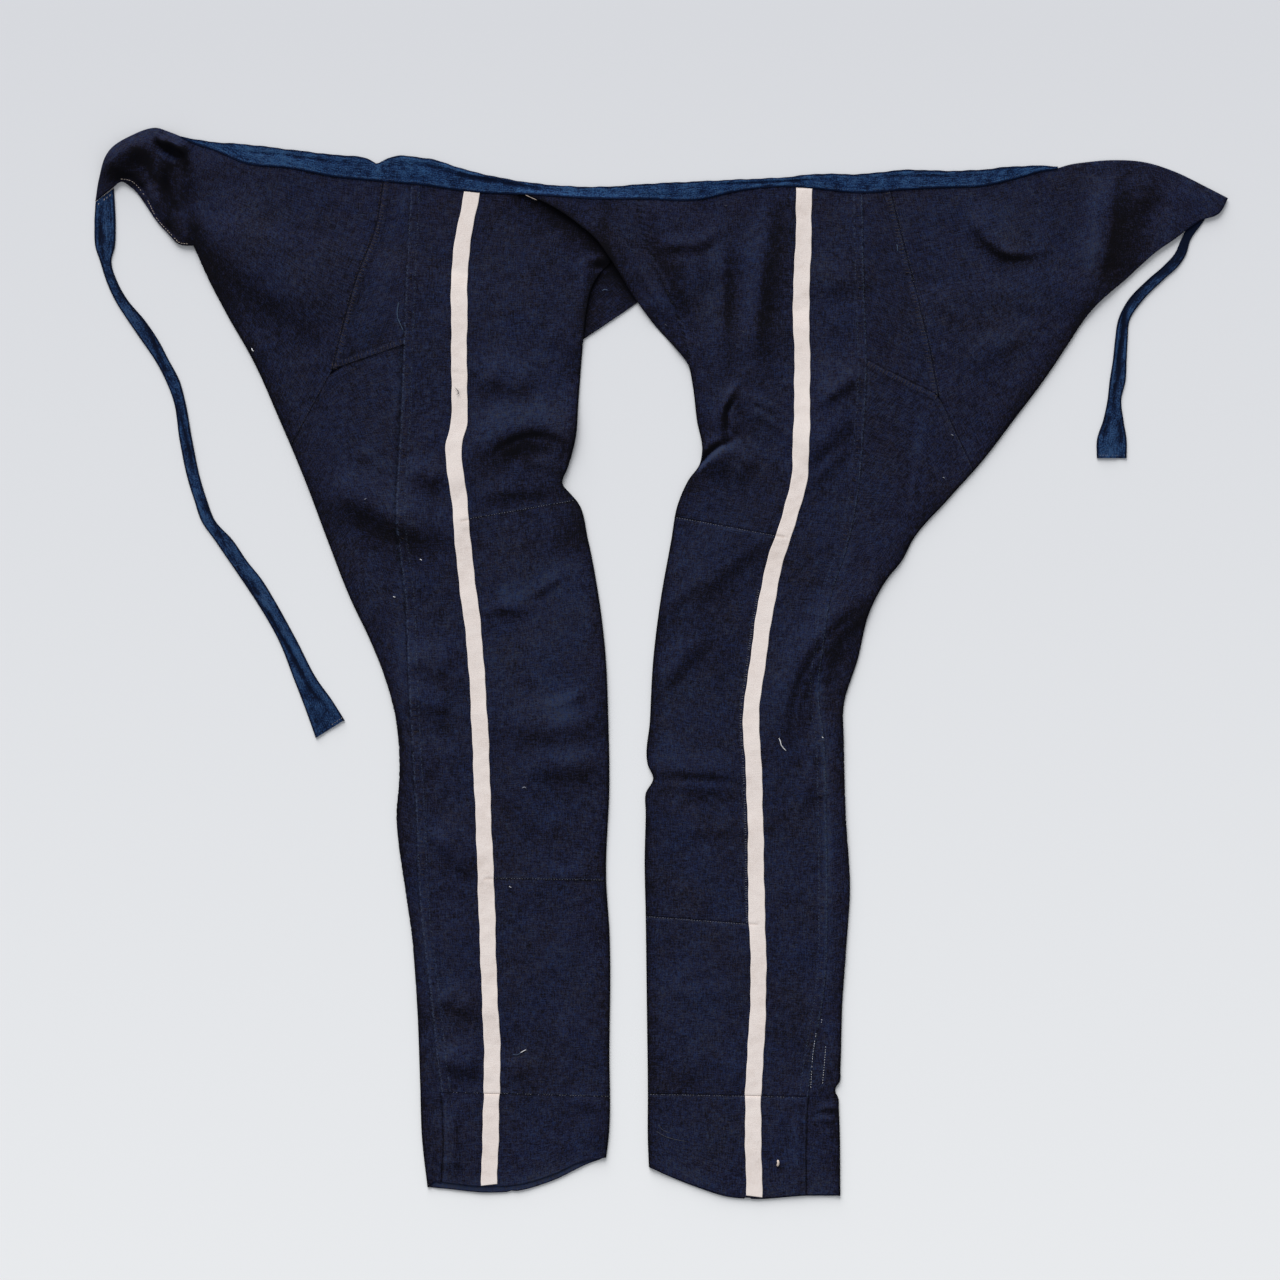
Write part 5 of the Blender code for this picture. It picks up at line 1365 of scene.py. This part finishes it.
def crotch_piece():
    """Piece behind the crossing, sewn to the free edge of the left seat panel."""
    crotch = np.array(LEFT.point("back", "crotch"))
    free_edge = at(LEFT.free_edge, evenly(5))[-2:]
    free_edge = pull(np.stack([crotch + 0 * free_edge, free_edge], axis=1), ("last",))[:, -1]
    along = free_edge[0] - free_edge[1]
    along /= np.linalg.norm(along)
    aside = np.array([-along[1], along[0]])
    aside *= 2 * SEAM_GAP * np.sign(aside[1])
    start = free_edge[1] + aside + along * CROTCH_START
    attached = at([start, start + along * CROTCH_REACH], evenly(40))
    low = at(smooth([start, *CROTCH_LOW[1:]]), evenly(60))
    high = at(smooth([attached[-1], *CROTCH_HIGH[1:]]), evenly(60))
    plan = patch(low, high, low=attached, near_last=(0.0,))
    grid = laid(plan, ())
    rise, width = CROTCH_SEAM
    grid.points[..., 2] += rise * soft(np.linalg.norm(plan - plan[:, :1], axis=2), width)
    # Painted shading, shifted darker as painted shade
    grid.painted_shade = PAINTED_SHADING(plan.reshape(-1, 2)).reshape(plan.shape[:2]) + CROTCH_SHADE
    cloth("crotch_l", [grid])


def strip_places(typical, width, radius):
    """Distances across a strip, with the same number of columns whatever its width."""
    near_edge = np.array(ROUND) * radius
    columns = places(typical, STRIP_STEPS[0], near_edge, near_edge)
    if width < typical:
        return np.where(columns < typical / 2, np.minimum(columns, width / 2),
                        width - np.minimum(typical - columns, width / 2))
    inner = (columns > near_edge[-1]) & (columns < typical - near_edge[-1])
    placed = np.where(columns <= typical / 2, columns, width - (typical - columns))
    share = (columns[inner] - near_edge[-1]) / (typical - 2 * near_edge[-1])
    placed[inner] = near_edge[-1] + share * (width - 2 * near_edge[-1])
    return placed


def tube(rows_left, rows_right, tall, creases):
    """Flat folded strip as a closed ring: rounded sides, creases, lowest points on the surface."""
    widths = np.linalg.norm(rows_right - rows_left, axis=1)
    typical = np.median(widths)
    radius = tall / 2
    shares = np.array([strip_places(typical, width, radius) for width in widths]) / widths[:, None]
    plan = (1 - shares[..., None]) * rows_left[:, None] + shares[..., None] * rows_right[:, None]
    edge = np.minimum(shares, 1 - shares) * widths[:, None]
    rounding = np.sqrt(np.clip(1 - (1 - np.clip(edge / radius, 0, 1)) ** 2, 0, 1))
    flat = plan.reshape(-1, 2)
    rise = ripples(flat, STRIP_RIPPLES)
    # Painted shading from the ripples, and the painted shade and light of the creases
    painted_shade = STRIP_RIPPLE_SHADING * rise
    for lift, shade, upper, lower, route in creases:
        rise += ridge(flat, lift, upper, lower, route)
        painted_shade += ridge(flat, shade, upper, lower, route)
    rise = rise.reshape(edge.shape) * np.clip(edge / (2 * radius), 0, 1)
    # Painted shade along the sides of the strip, painted highlight beside it
    dark, reach = STRIP_EDGE_SHADE
    glow, place, width = STRIP_EDGE_HIGHLIGHT
    painted_shade = painted_shade.reshape(edge.shape) + dark * soft(edge, reach) + glow * soft(edge - place, width)
    top = FLOOR_GAP + radius + radius * rounding + rise
    bottom = FLOOR_GAP + radius - radius * rounding
    upper = np.concatenate([plan, top[..., None]], axis=-1)
    lower = np.concatenate([plan, bottom[..., None]], axis=-1)[:, ::-1]
    ring = np.concatenate([upper, lower[:, 1:-1], upper[:, :1]], axis=1)
    return Grid(ring, np.concatenate([painted_shade, 0 * painted_shade[:, 1:-1], painted_shade[:, :1]], axis=1))


def waistband(tops):
    """Band along the tops of all the panels: its lower edge lies on them, its upper edge is rolled."""
    low = np.concatenate([*tops, smooth(TURN_TOP)[:13], smooth(POINT_TOP)[:25]])
    low = low[np.argsort(low[:, 0])]
    x = np.arange(BAND_TIPS[0][0], BAND_TIPS[1][0], STEP)
    foot = np.column_stack([x, np.interp(x, low[:, 0], low[:, 1])])
    top_curve = np.concatenate([BAND_TIPS[:1], smooth(BAND_TOP), BAND_TIPS[1:]])
    high = np.column_stack([x, np.interp(x, top_curve[:, 0], top_curve[:, 1])])
    high[:, 1] = np.maximum(high[:, 1], foot[:, 1] + BAND_LEAST)
    for length, shift, size in BAND_WANDER:
        high[:, 1] += size * np.sin(x / length + shift)
    foot -= (0, BAND_LAP)
    grid = tube(foot, high, BAND_HEIGHT, BAND_CREASES)
    half = grid.points.shape[1] // 2 + 1
    gap = grid.points[:, :half, 1] - foot[:, None, 1]
    crossed, single = (height(foot, crossing)[0] for crossing in (True, False))
    panel = (np.where(x > CROSSING_START[0], crossed, single) + WALL / 2)[:, None]
    above, below = BAND_REST
    upper = grid.points[:, :half, 2]
    grid.points[:, :half, 2] = upper + soft(gap, BAND_DROP) * (np.maximum(panel + above, upper) - upper)
    lift = (panel + below) * np.clip(1 - (gap - BAND_LAP) / BAND_LIP, 0, 1)
    grid.points[:, half:-1, 2] = np.maximum(grid.points[:, half:-1, 2], lift[:, ::-1][:, 1:-1])
    grid.points[:, -1] = grid.points[:, 0]
    folded_strip("waistband", grid, "denim", BAND_CUT)


def ties():
    """The two ties, flat on the surface."""
    for side, sections in TIE_SECTIONS.items():
        rows = [((left, y), (right, y)) for y, left, right in sections]
        for ends, place in ((TIE_SEAM, 0), (TIE_END, len(rows) + 1)):
            if side in ends:
                rows.insert(place, ends[side])
        rows = np.array(rows, float)
        length = lengths(rows.mean(axis=1))[-1]
        edges = at(smooth(rows.reshape(-1, 4), 10), places(length, STRIP_STEPS[1]) / length)
        grid = tube(edges[:, :2], edges[:, 2:], TIE_HEIGHT, TIE_CREASES[side])
        folded_strip(f"tie_{side}", grid, "tie", TIE_CUT[side])


# Sewing

class Row:
    """A row of stitches: its route in 3-D, their pitch, length and thickness, the share left, their turn."""

    def __init__(self, route, pitch, length, thick, keep, turn=0.0):
        self.route, self.pitch, self.length, self.thick = route, pitch, length, thick
        self.keep, self.turn = keep, math.radians(turn)

    def place(self, distances):
        """Points of the route at distances along it."""
        along = lengths(self.route)
        return np.stack([np.interp(distances, along, self.route[:, axis]) for axis in range(3)], axis=-1)

    def lines(self, random):
        """Middle lines of the stitches, a little uneven, with longer worn places where few are left."""
        centres = np.arange(self.pitch / 2, lengths(self.route)[-1], self.pitch)
        centres = centres + random.normal(0, self.pitch * STITCH_SHIFT, len(centres))
        more, worn_length = STITCH_WORN
        worn = np.sin(centres / worn_length + random.uniform(0, 6))
        chance = self.keep * (1 + more * (1 - self.keep) * worn)
        centres = centres[random.uniform(size=len(centres)) < chance]
        half = self.length / 2 * random.uniform(*STITCH_LENGTHS, len(centres))
        run = self.place(centres + 0.6) - self.place(centres - 0.6)
        run /= np.linalg.norm(run, axis=1)[:, None]
        aside = np.stack([-run[:, 1], run[:, 0], 0 * run[:, 0]], axis=1)
        turn = self.turn + random.normal(0, STITCH_TURN, len(centres))[:, None]
        run = run * np.cos(turn) + aside * np.sin(turn)
        u = np.linspace(-1, 1, STITCH_RINGS)
        line = self.place(centres)[:, None] + u[None, :, None] * (half[:, None] * run)[:, None]
        line[..., 2] += self.thick * (STITCH_ARCH[0] - STITCH_ARCH[1] * u[None] ** 2)
        return line


class Strand:
    """A loose thread or speck of lint on the cloth, along its own route."""

    def __init__(self, route, thick):
        self.route, self.thick = route, thick

    def lines(self, _):
        """Its middle line."""
        return self.route[None]


def threads(rows, name, thread):
    """Rows and strands as one mesh of fine tubes."""
    random = np.random.default_rng(SEED + len(name))
    turn = np.linspace(0, 2 * math.pi, THREAD_SIDES, endpoint=False) + math.pi / 4
    points, faces, first = [], [], 0
    for row in rows:
        line = row.lines(random)
        if not len(line):
            continue
        rings = line.shape[1]
        run = np.gradient(line, axis=1)
        aside = np.stack([-run[..., 1], run[..., 0], 0 * run[..., 0]], axis=-1)
        aside /= np.linalg.norm(aside, axis=-1)[..., None]
        girth = row.thick / 2 * np.sqrt(1.05 - 0.85 * np.linspace(-1, 1, rings)**4)
        cosine, sine = (wave(turn)[None, None, :, None] for wave in (np.cos, np.sin))
        ring = line[:, :, None] + girth[None, :, None, None] * (cosine * aside[:, :, None] + sine * (0, 0, 1))
        points.append(ring.reshape(-1, 3))
        base = first + np.arange(len(line))[:, None, None] * rings * THREAD_SIDES
        i, j = np.meshgrid(np.arange(rings - 1), np.arange(THREAD_SIDES), indexing="ij")
        here, beyond, after = i * THREAD_SIDES, (i + 1) * THREAD_SIDES, (j + 1) % THREAD_SIDES
        index = np.stack([here + j, here + after, beyond + after, beyond + j], axis=-1)
        caps = np.array([np.arange(THREAD_SIDES)[::-1], (rings - 1) * THREAD_SIDES + np.arange(THREAD_SIDES)])
        faces.append((base + np.concatenate([index.reshape(-1, 4), caps])[None]).reshape(-1, 4))
        first += len(line) * rings * THREAD_SIDES
    mesh = make_mesh(name, np.concatenate(points), np.concatenate(faces).tolist())
    piece = shown(name, mesh, MATERIALS["thread_" + thread])
    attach(piece, "root")


def on_cloth(route, crossing=False):
    """Plan route lifted to the top of the cloth."""
    plan = at(route, places(1.0, 1.0 / max(lengths(route)[-1], 1)))
    return np.column_stack([plan, height(plan, crossing)[0] + WALL / 2])


def stitched(route, look, side=1, crossing=False):
    """Row of stitches on the cloth, at the left hand of a plan route, or at the right hand with side -1."""
    distance, *row = STITCHES[look]
    return Row(on_cloth(beside(route, side * distance) if distance else route, crossing), *row)


def leg_stitches(half, rows):
    """Adds the rows of stitches of one half, by colour of thread."""
    accent = "tan" if half is LEFT else "ash"
    knee, calf, ankle = (at(half.across(name), np.linspace(*CROSS_SPAN, 60))
                         for name in ("knee", "calf", "ankle"))
    outer_cuff = at(half.across("ankle", "side", "stripe"), np.linspace(*OUTER_CUFF_SPAN, 30))
    side = half.run("side", "ankle", "waist")[::3]
    gore, foot = half.gore_seam[::2], at(half.foot_seam(), evenly(20))
    low = at(half.low_seam(), np.linspace(*LOW_SPAN, 20))
    hem = smooth(HEM[half.side])[4:-4] + (0, HEM_HEIGHT)
    cuff_side = half.run("side", "hem", "ankle")[4::2]
    for thread, look, route in (("pale", "knee", knee), ("pale", "calf", calf),
                                ("ash", "calf overcast", calf), ("pale", "ankle", ankle),
                                ("ash", "ankle overcast", ankle), ("pale", "outer cuff", outer_cuff)):
        rows[thread].append(stitched(route, look))
    for distance, keep in SIDE_ROWS:
        line = on_cloth(beside(side, distance * half.inward))
        for thread, shift, pitch, length, thick in SIDE_THREADS:
            rows[thread].append(Row(line + (shift, 0.0, 0.0), pitch, length, thick, keep))
    for thread, look, route, hand in (("tan", "side", side, half.inward), (accent, "gore", gore, -1),
                                      (accent, "gore", gore, 1), ("tan", "gore fell", gore, -half.inward),
                                      ("tan", "foot", foot, 1), ("tan", "foot fell", foot, 1),
                                      (accent, "low", low, 1), ("dark", "hem", hem, 1),
                                      ("dark", "cuff side", cuff_side, half.inward)):
        rows[thread].append(stitched(route, look, hand))


def loose_threads(rows):
    """Adds the stitches of the right leg's patch and facing, the worn white ones, and the lint."""
    stripe = between(RIGHT.curves["stripe"], *KNEE_PATCH, evenly(80), 1)
    edge = beside(stripe[::-1], -(STRIPE_WIDTH / 2 + PATCH_GAP))
    rows["pale"].append(stitched(edge, "patch edge"))
    rows["ash"].append(stitched(edge, "patch", -1))
    rows["ash"].append(stitched(np.array(FACING_SEAM, float), "facing", crossing=True))
    rows["white"] += [stitched(np.array(route, float), "white") for route in WHITE_ROWS]
    for thread, thick, route in LINT:
        path = at(smooth(route, 6), evenly(9))
        z, _, _ = height(path, route[0][0] > CROSSING_START[0])
        rows[thread].append(Strand(np.column_stack([path, z + WALL / 2 + 0.3 * thick]), thick))


def on_tie(ends, count, look, rise=0.0, span=(0.0, 1.0), shift=(0.0, 0.0, 0.0)):
    """Row of stitches on a tie, over a span of a straight plan line."""
    route = [(*point, TIE_HEIGHT + rise) for point in at(ends, np.linspace(*span, count))]
    return Row(np.array(route) + shift, *STITCHES[look][1:])


def sewing():
    """All the stitches of the garment, by colour of thread, and the lint on it."""
    rows = {name: [] for name in THREADS}
    for half in (LEFT, RIGHT):
        leg_stitches(half, rows)
    loose_threads(rows)
    for thread, found in rows.items():
        if found and thread != "cream":
            threads(found, f"stitches_{thread}", thread)

    x = np.arange(*BAND_SEAM_SPAN, 3.0)
    z = np.full(len(x), BAND_HEIGHT + FLOOR_GAP + 0.05)
    distance, *row = STITCHES["band"]
    band = np.column_stack([x, np.interp(x, *BAND_CURVE.T) + distance, z])
    threads([Row(band, *row)], "stitches_band", "blue")
    lip = stitched(smooth(TURN_LOW[:-1])[4:], "selvedge", -1)
    threads([lip, *rows["cream"]], "stitches_selvedge", "cream")
    tie = [on_tie(TIE_SEAM["l"], 12, "tie", THREAD_RISE, TIE_SPAN),
           on_tie(TIE_SEAM["l"], 12, "tie second", THREAD_RISE, TIE_SPAN, TIE_SECOND),
           on_tie(TIE_END_ROW, 6, "tie end", span=TIE_END_SPAN)]
    threads(tie, "stitches_tie", "cream")
    threads([on_tie(FRAYED_ROW, 12, "frayed", THREAD_RISE)], "stitches_tie_end", "pale")
    mark = np.array([(*point, TAPE_TOP) for point in STRIPE_MARK])
    threads([Strand(mark, STRIPE_MARK_THICK)], "stripe_mark", "dark")


# Looks

def new_material(name):
    """Material, its node tree, its shader and the place of each point in the scene."""
    made = bpy.data.materials.new(name)
    made.use_nodes = True
    tree = made.node_tree
    place = node(tree, "ShaderNodeTexCoord").outputs["Object"]
    return made, tree, tree.nodes["Principled BSDF"], place


def node(tree, kind, links=None, **settings):
    """Adds a node, sets its values and links its inputs."""
    made = tree.nodes.new(kind)
    for key, value in settings.items():
        setattr(made, key, value)
    for key, value in (links or {}).items():
        socket = made.inputs[key]
        if isinstance(value, bpy.types.NodeSocket):
            tree.links.new(value, socket)
        else:
            socket.default_value = value
    return made


def noise(tree, place, scale, detail=2.0, roughness=0.5):
    """Uneven value from 0 to 1."""
    return node(tree, "ShaderNodeTexNoise", {"Vector": place, "Scale": scale, "Detail": detail,
                                             "Roughness": roughness}).outputs["Fac"]


def scaled(tree, vector, *scale):
    """Vector with each axis scaled."""
    return node(tree, "ShaderNodeMapping", {"Vector": vector, "Scale": scale}).outputs[0]


def ranged(tree, value, low, high, top=1.0):
    """Value from 0 at the low end to the top at the high end."""
    return node(tree, "ShaderNodeMapRange", {"Value": value, "From Min": low, "From Max": high,
                                             "To Max": top}).outputs[0]


def math_node(tree, operation, *values, clamp=False):
    """Result of a sum or product of sockets and numbers."""
    inputs = dict(enumerate(values))
    return node(tree, "ShaderNodeMath", inputs, operation=operation, use_clamp=clamp).outputs[0]


def weighted(tree, parts):
    """Sum of (socket - middle) * weight over the parts."""
    total = None
    for socket, middle, weight in parts:
        term = math_node(tree, "MULTIPLY", math_node(tree, "SUBTRACT", socket, middle), weight)
        total = term if total is None else math_node(tree, "ADD", total, term)
    return total


def ramp(tree, factor, stops):
    """Colour between the stops."""
    made = node(tree, "ShaderNodeValToRGB", {"Fac": factor})
    elements = made.color_ramp.elements
    while len(elements) < len(stops):
        elements.new(0.5)
    for element, (position, colour) in zip(elements, stops):
        element.position, element.color = position, (*colour, 1.0)
    return made.outputs["Color"]


def mix(tree, amount, first, second, blend="MIX"):
    """Mixes a fixed colour into a socket."""
    made = tree.nodes.new("ShaderNodeMix")
    made.data_type, made.blend_type = "RGBA", blend
    inputs = [socket for socket in made.inputs if socket.enabled]
    tree.links.new(amount, inputs[0])
    tree.links.new(first, inputs[1])
    inputs[2].default_value = (*second, 1.0)
    return next(socket for socket in made.outputs if socket.enabled)


def bumped(tree, shader, relief, strength, distance):
    """Fine relief of a material."""
    made = node(tree, "ShaderNodeBump", {"Height": relief, "Strength": strength, "Distance": distance})
    tree.links.new(made.outputs["Normal"], shader.inputs["Normal"])


def cloth_material(name, colours, base=0.5, flecks=0.6, grain=1.45, clump=0.55, slub=(1.1, 1.1), mottle=0.3,
                   hue=0.6, roughness=0.9, bump=0.5):
    """Woven cotton: uneven dye, mixed fibres, paler worn threads, painted shade and painted light from a
    point attribute, thread-by-thread relief.
    """
    made, tree, shader, place = new_material(name)
    weave = node(tree, "ShaderNodeUVMap", uv_map="weave").outputs["UV"]
    # Point attributes: the painted shading, and the wear
    tone, worn = (node(tree, "ShaderNodeAttribute", attribute_name=label).outputs["Fac"]
                  for label in ("painted_shade", "wear"))
    weft, warp = (noise(tree, scaled(tree, weave, *scale, 1.0), 1.0) for scale in SLUBS)
    broad, middle, clumps, fibres = (noise(tree, place, *look) for look in NOISES.values())
    # Painted shade and painted light shift the ramp towards its shade or light colours
    factor = weighted(tree, ((broad, 0.5, mottle), (middle, 0.5, 1.3 * mottle), (clumps, 0.5, clump),
                             (fibres, 0.5, grain), (weft, 0.5, slub[0]), (warp, 0.5, slub[1]),
                             (tone, 0.0, 1.0)))
    factor = math_node(tree, "ADD", factor, base, clamp=True)
    colour = ramp(tree, factor, [(position, colours[stop]) for stop, position in STOPS.items()])
    for scale, tint, strength in TINTS:
        amount = ranged(tree, noise(tree, place, scale, 2.0, 0.7), *TINT_RANGE, strength * hue)
        share = [tinted / plain for tinted, plain in zip(colours[tint], colours["body"])]
        colour = mix(tree, amount, colour, share, "MULTIPLY")
    if flecks:
        specks = ranged(tree, noise(tree, place, *SPECKS), *SPECK_RANGE)
        amount = math_node(tree, "MULTIPLY", math_node(tree, "MULTIPLY", specks, worn, clamp=True), flecks)
        colour = mix(tree, amount, colour, colours["worn"])
    tree.links.new(colour, shader.inputs["Base Color"])

    pitch = 1.0 / (THREAD_PITCH * MM)
    bands = []
    for axis in (0, 1):
        part = node(tree, "ShaderNodeSeparateXYZ", {"Vector": scaled(tree, weave, pitch, pitch, 1.0)})
        bands.append(math_node(tree, "SINE", math_node(tree, "MULTIPLY", part.outputs[axis], 2 * math.pi)))
    woven = math_node(tree, "MULTIPLY", *bands)
    relief = weighted(tree, tuple(zip((woven, weft, warp, fibres), (0.0, 0.5, 0.5, 0.5), WEAVE_RELIEF)))
    bumped(tree, shader, relief, bump, WEAVE_DEPTH)
    rough = weighted(tree, ((fibres, 0.5, ROUGH_FIBRES), (tone, 0.0, ROUGH_TONE)))
    tree.links.new(math_node(tree, "ADD", rough, roughness, clamp=True), shader.inputs["Roughness"])
    weight, sheen_roughness, gain = SHEEN
    shader.inputs["Specular IOR Level"].default_value = SPECULAR
    shader.inputs["Sheen Weight"].default_value = weight
    shader.inputs["Sheen Roughness"].default_value = sheen_roughness
    shader.inputs["Sheen Tint"].default_value = (*[min(1.0, v * gain) for v in colours["light"]], 1.0)
    return made


def thread_material(name, colour):
    """Cotton thread, slightly uneven along its length."""
    made, tree, shader, place = new_material(name)
    dark = tuple(0.55 * v for v in colour)
    shade = ramp(tree, noise(tree, place, 300.0, 2.0, 0.6), ((0.3, dark), (0.7, colour)))
    tree.links.new(shade, shader.inputs["Base Color"])
    bumped(tree, shader, noise(tree, place, 2500.0, 1.0), 0.4, 0.0001)
    shader.inputs["Roughness"].default_value = 0.8
    shader.inputs["Specular IOR Level"].default_value = 0.3
    return made


def ground_material():
    """Pale ground with a painted falloff of light, a little darker at the side of the waistband."""
    made, tree, shader, place = new_material("ground")
    down = node(tree, "ShaderNodeSeparateXYZ", {"Vector": place}).outputs["Y"]
    shade = ramp(tree, ranged(tree, down, GROUND_SPAN, -GROUND_SPAN), ((0.0, GROUND_FAR), (1.0, GROUND_NEAR)))
    tree.links.new(shade, shader.inputs["Base Color"])
    shader.inputs["Roughness"].default_value = 0.9
    shader.inputs["Specular IOR Level"].default_value = SPECULAR
    return made


def studio():
    """Pale floor, soft light from the side of the waistband, camera straight above."""
    corners = np.array([(-1, -1, 0), (1, -1, 0), (1, 1, 0), (-1, 1, 0)]) * GROUND_HALF
    mesh = make_mesh("floor", corners, [(0, 1, 2, 3)])
    mesh.materials.append(ground_material())
    linked("floor", mesh)

    world = bpy.data.worlds.new("studio")
    bpy.context.scene.world = world
    world.use_nodes = True
    background = world.node_tree.nodes["Background"]
    background.inputs["Color"].default_value = (*AMBIENT_COLOUR, 1.0)
    background.inputs["Strength"].default_value = AMBIENT
    light = bpy.data.lights.new("window", "SUN")
    light.energy = WINDOW_POWER
    light.angle = math.radians(WINDOW_ANGLE)
    lamp = linked("window", light)
    lamp.rotation_euler = (math.radians(90 - WINDOW_HEIGHT), 0.0, math.radians(180 + WINDOW_TURN))

    camera_data = bpy.data.cameras.new("camera")
    camera_data.lens, camera_data.sensor_width = LENS, SENSOR
    camera_data.clip_end = 20.0
    camera = linked("camera", camera_data)
    camera.location = (*FRAME_CENTRE, FRAME_WIDTH * LENS / SENSOR)
    bpy.context.scene.camera = camera
    bpy.context.scene.view_settings.view_transform = "Standard"


# Making

def all_seams():
    """Every seam that shows on the upper layer."""
    seams = []
    for half in (LEFT, RIGHT):
        seams += [
            Seam("side", half.run("side", "ankle", "waist")[::4], half.inward),
            Seam("cuff side", half.run("side", "hem", "ankle")[::4], half.inward),
            Seam("gore", half.gore_seam, -half.inward),
            Seam("foot", half.foot_seam()),
            Seam("low", half.low_seam()),
            Seam("cross", half.across("knee")),
            Seam("cross", half.across("calf")),
            Seam("cross", half.across("ankle", "side", "stripe", "inner")),
        ]
    return seams + [Seam("band", BAND_CURVE), Seam("facing", np.array(FACING_SEAM, float))]


MATERIALS = {
    "indigo": cloth_material("indigo_cotton", INDIGO),
    "denim": cloth_material("denim_band", DENIM, 0.47, grain=2.2, clump=0.3, slub=(0.5, 1.9), mottle=0.15),
    "tie": cloth_material("tie_cotton", TIE_BLUE, 0.47, grain=2.0, clump=0.3, slub=(0.5, 1.6), mottle=0.15),
    "tape": cloth_material("pale_tape", TAPE, flecks=0.0, grain=0.4, clump=0.2, slub=(0.3, 0.3), hue=0.2,
                           bump=0.3),
}
for name, colour in THREADS.items():
    MATERIALS[f"thread_{name}"] = thread_material(f"thread_{name}", colour)
studio()

BAND_CURVE = smooth(BAND_LOW)
CROSSING_START = LINES["r"]["inner"][0]
LEFT, RIGHT = Half("l"), Half("r")
TIE_ROOT = [(left, y) for y, left, _ in TIE_SECTIONS["r"][:TIE_ROOT_SECTIONS]]
TIE_ROOT += [(right, y) for y, _, right in TIE_SECTIONS["r"][:TIE_ROOT_SECTIONS][::-1]]
CROTCH_OUTLINE = np.concatenate([smooth(CROTCH_LOW), CROTCH_HIGH[::-1]])
LEFT_FRONT = np.concatenate([LEFT.run("stripe", "knee", "waist")[::6],
                             LEFT.run("inner", "knee", "waist")[::-6]])
SUPPORT = support_map(((LEFT.outline(), LAYER), (RIGHT.outline(), LAYER), (CROTCH_OUTLINE, LAYER),
                       (np.array(TIE_ROOT, float), TIE_RISE)))
CROSSED = support_map(((LEFT_FRONT, 1.0),))
RELIEF, PAINTED_SHADING = relief_maps()
SEAMS = all_seams()

band_tops = []
for half in (LEFT, RIGHT):
    tops = [*front_panels(half), upper_front(half)]
    lower_panels(half)
    tops = np.concatenate([*tops, seat(half)])
    band_tops.append(tops[tops[:, 0] < CROSSING_START[0]] if half is LEFT else tops)
    back_leg(half)
    cuff(half)
    stripes(half)
crotch_piece()
waistband(band_tops)
ties()
sewing()
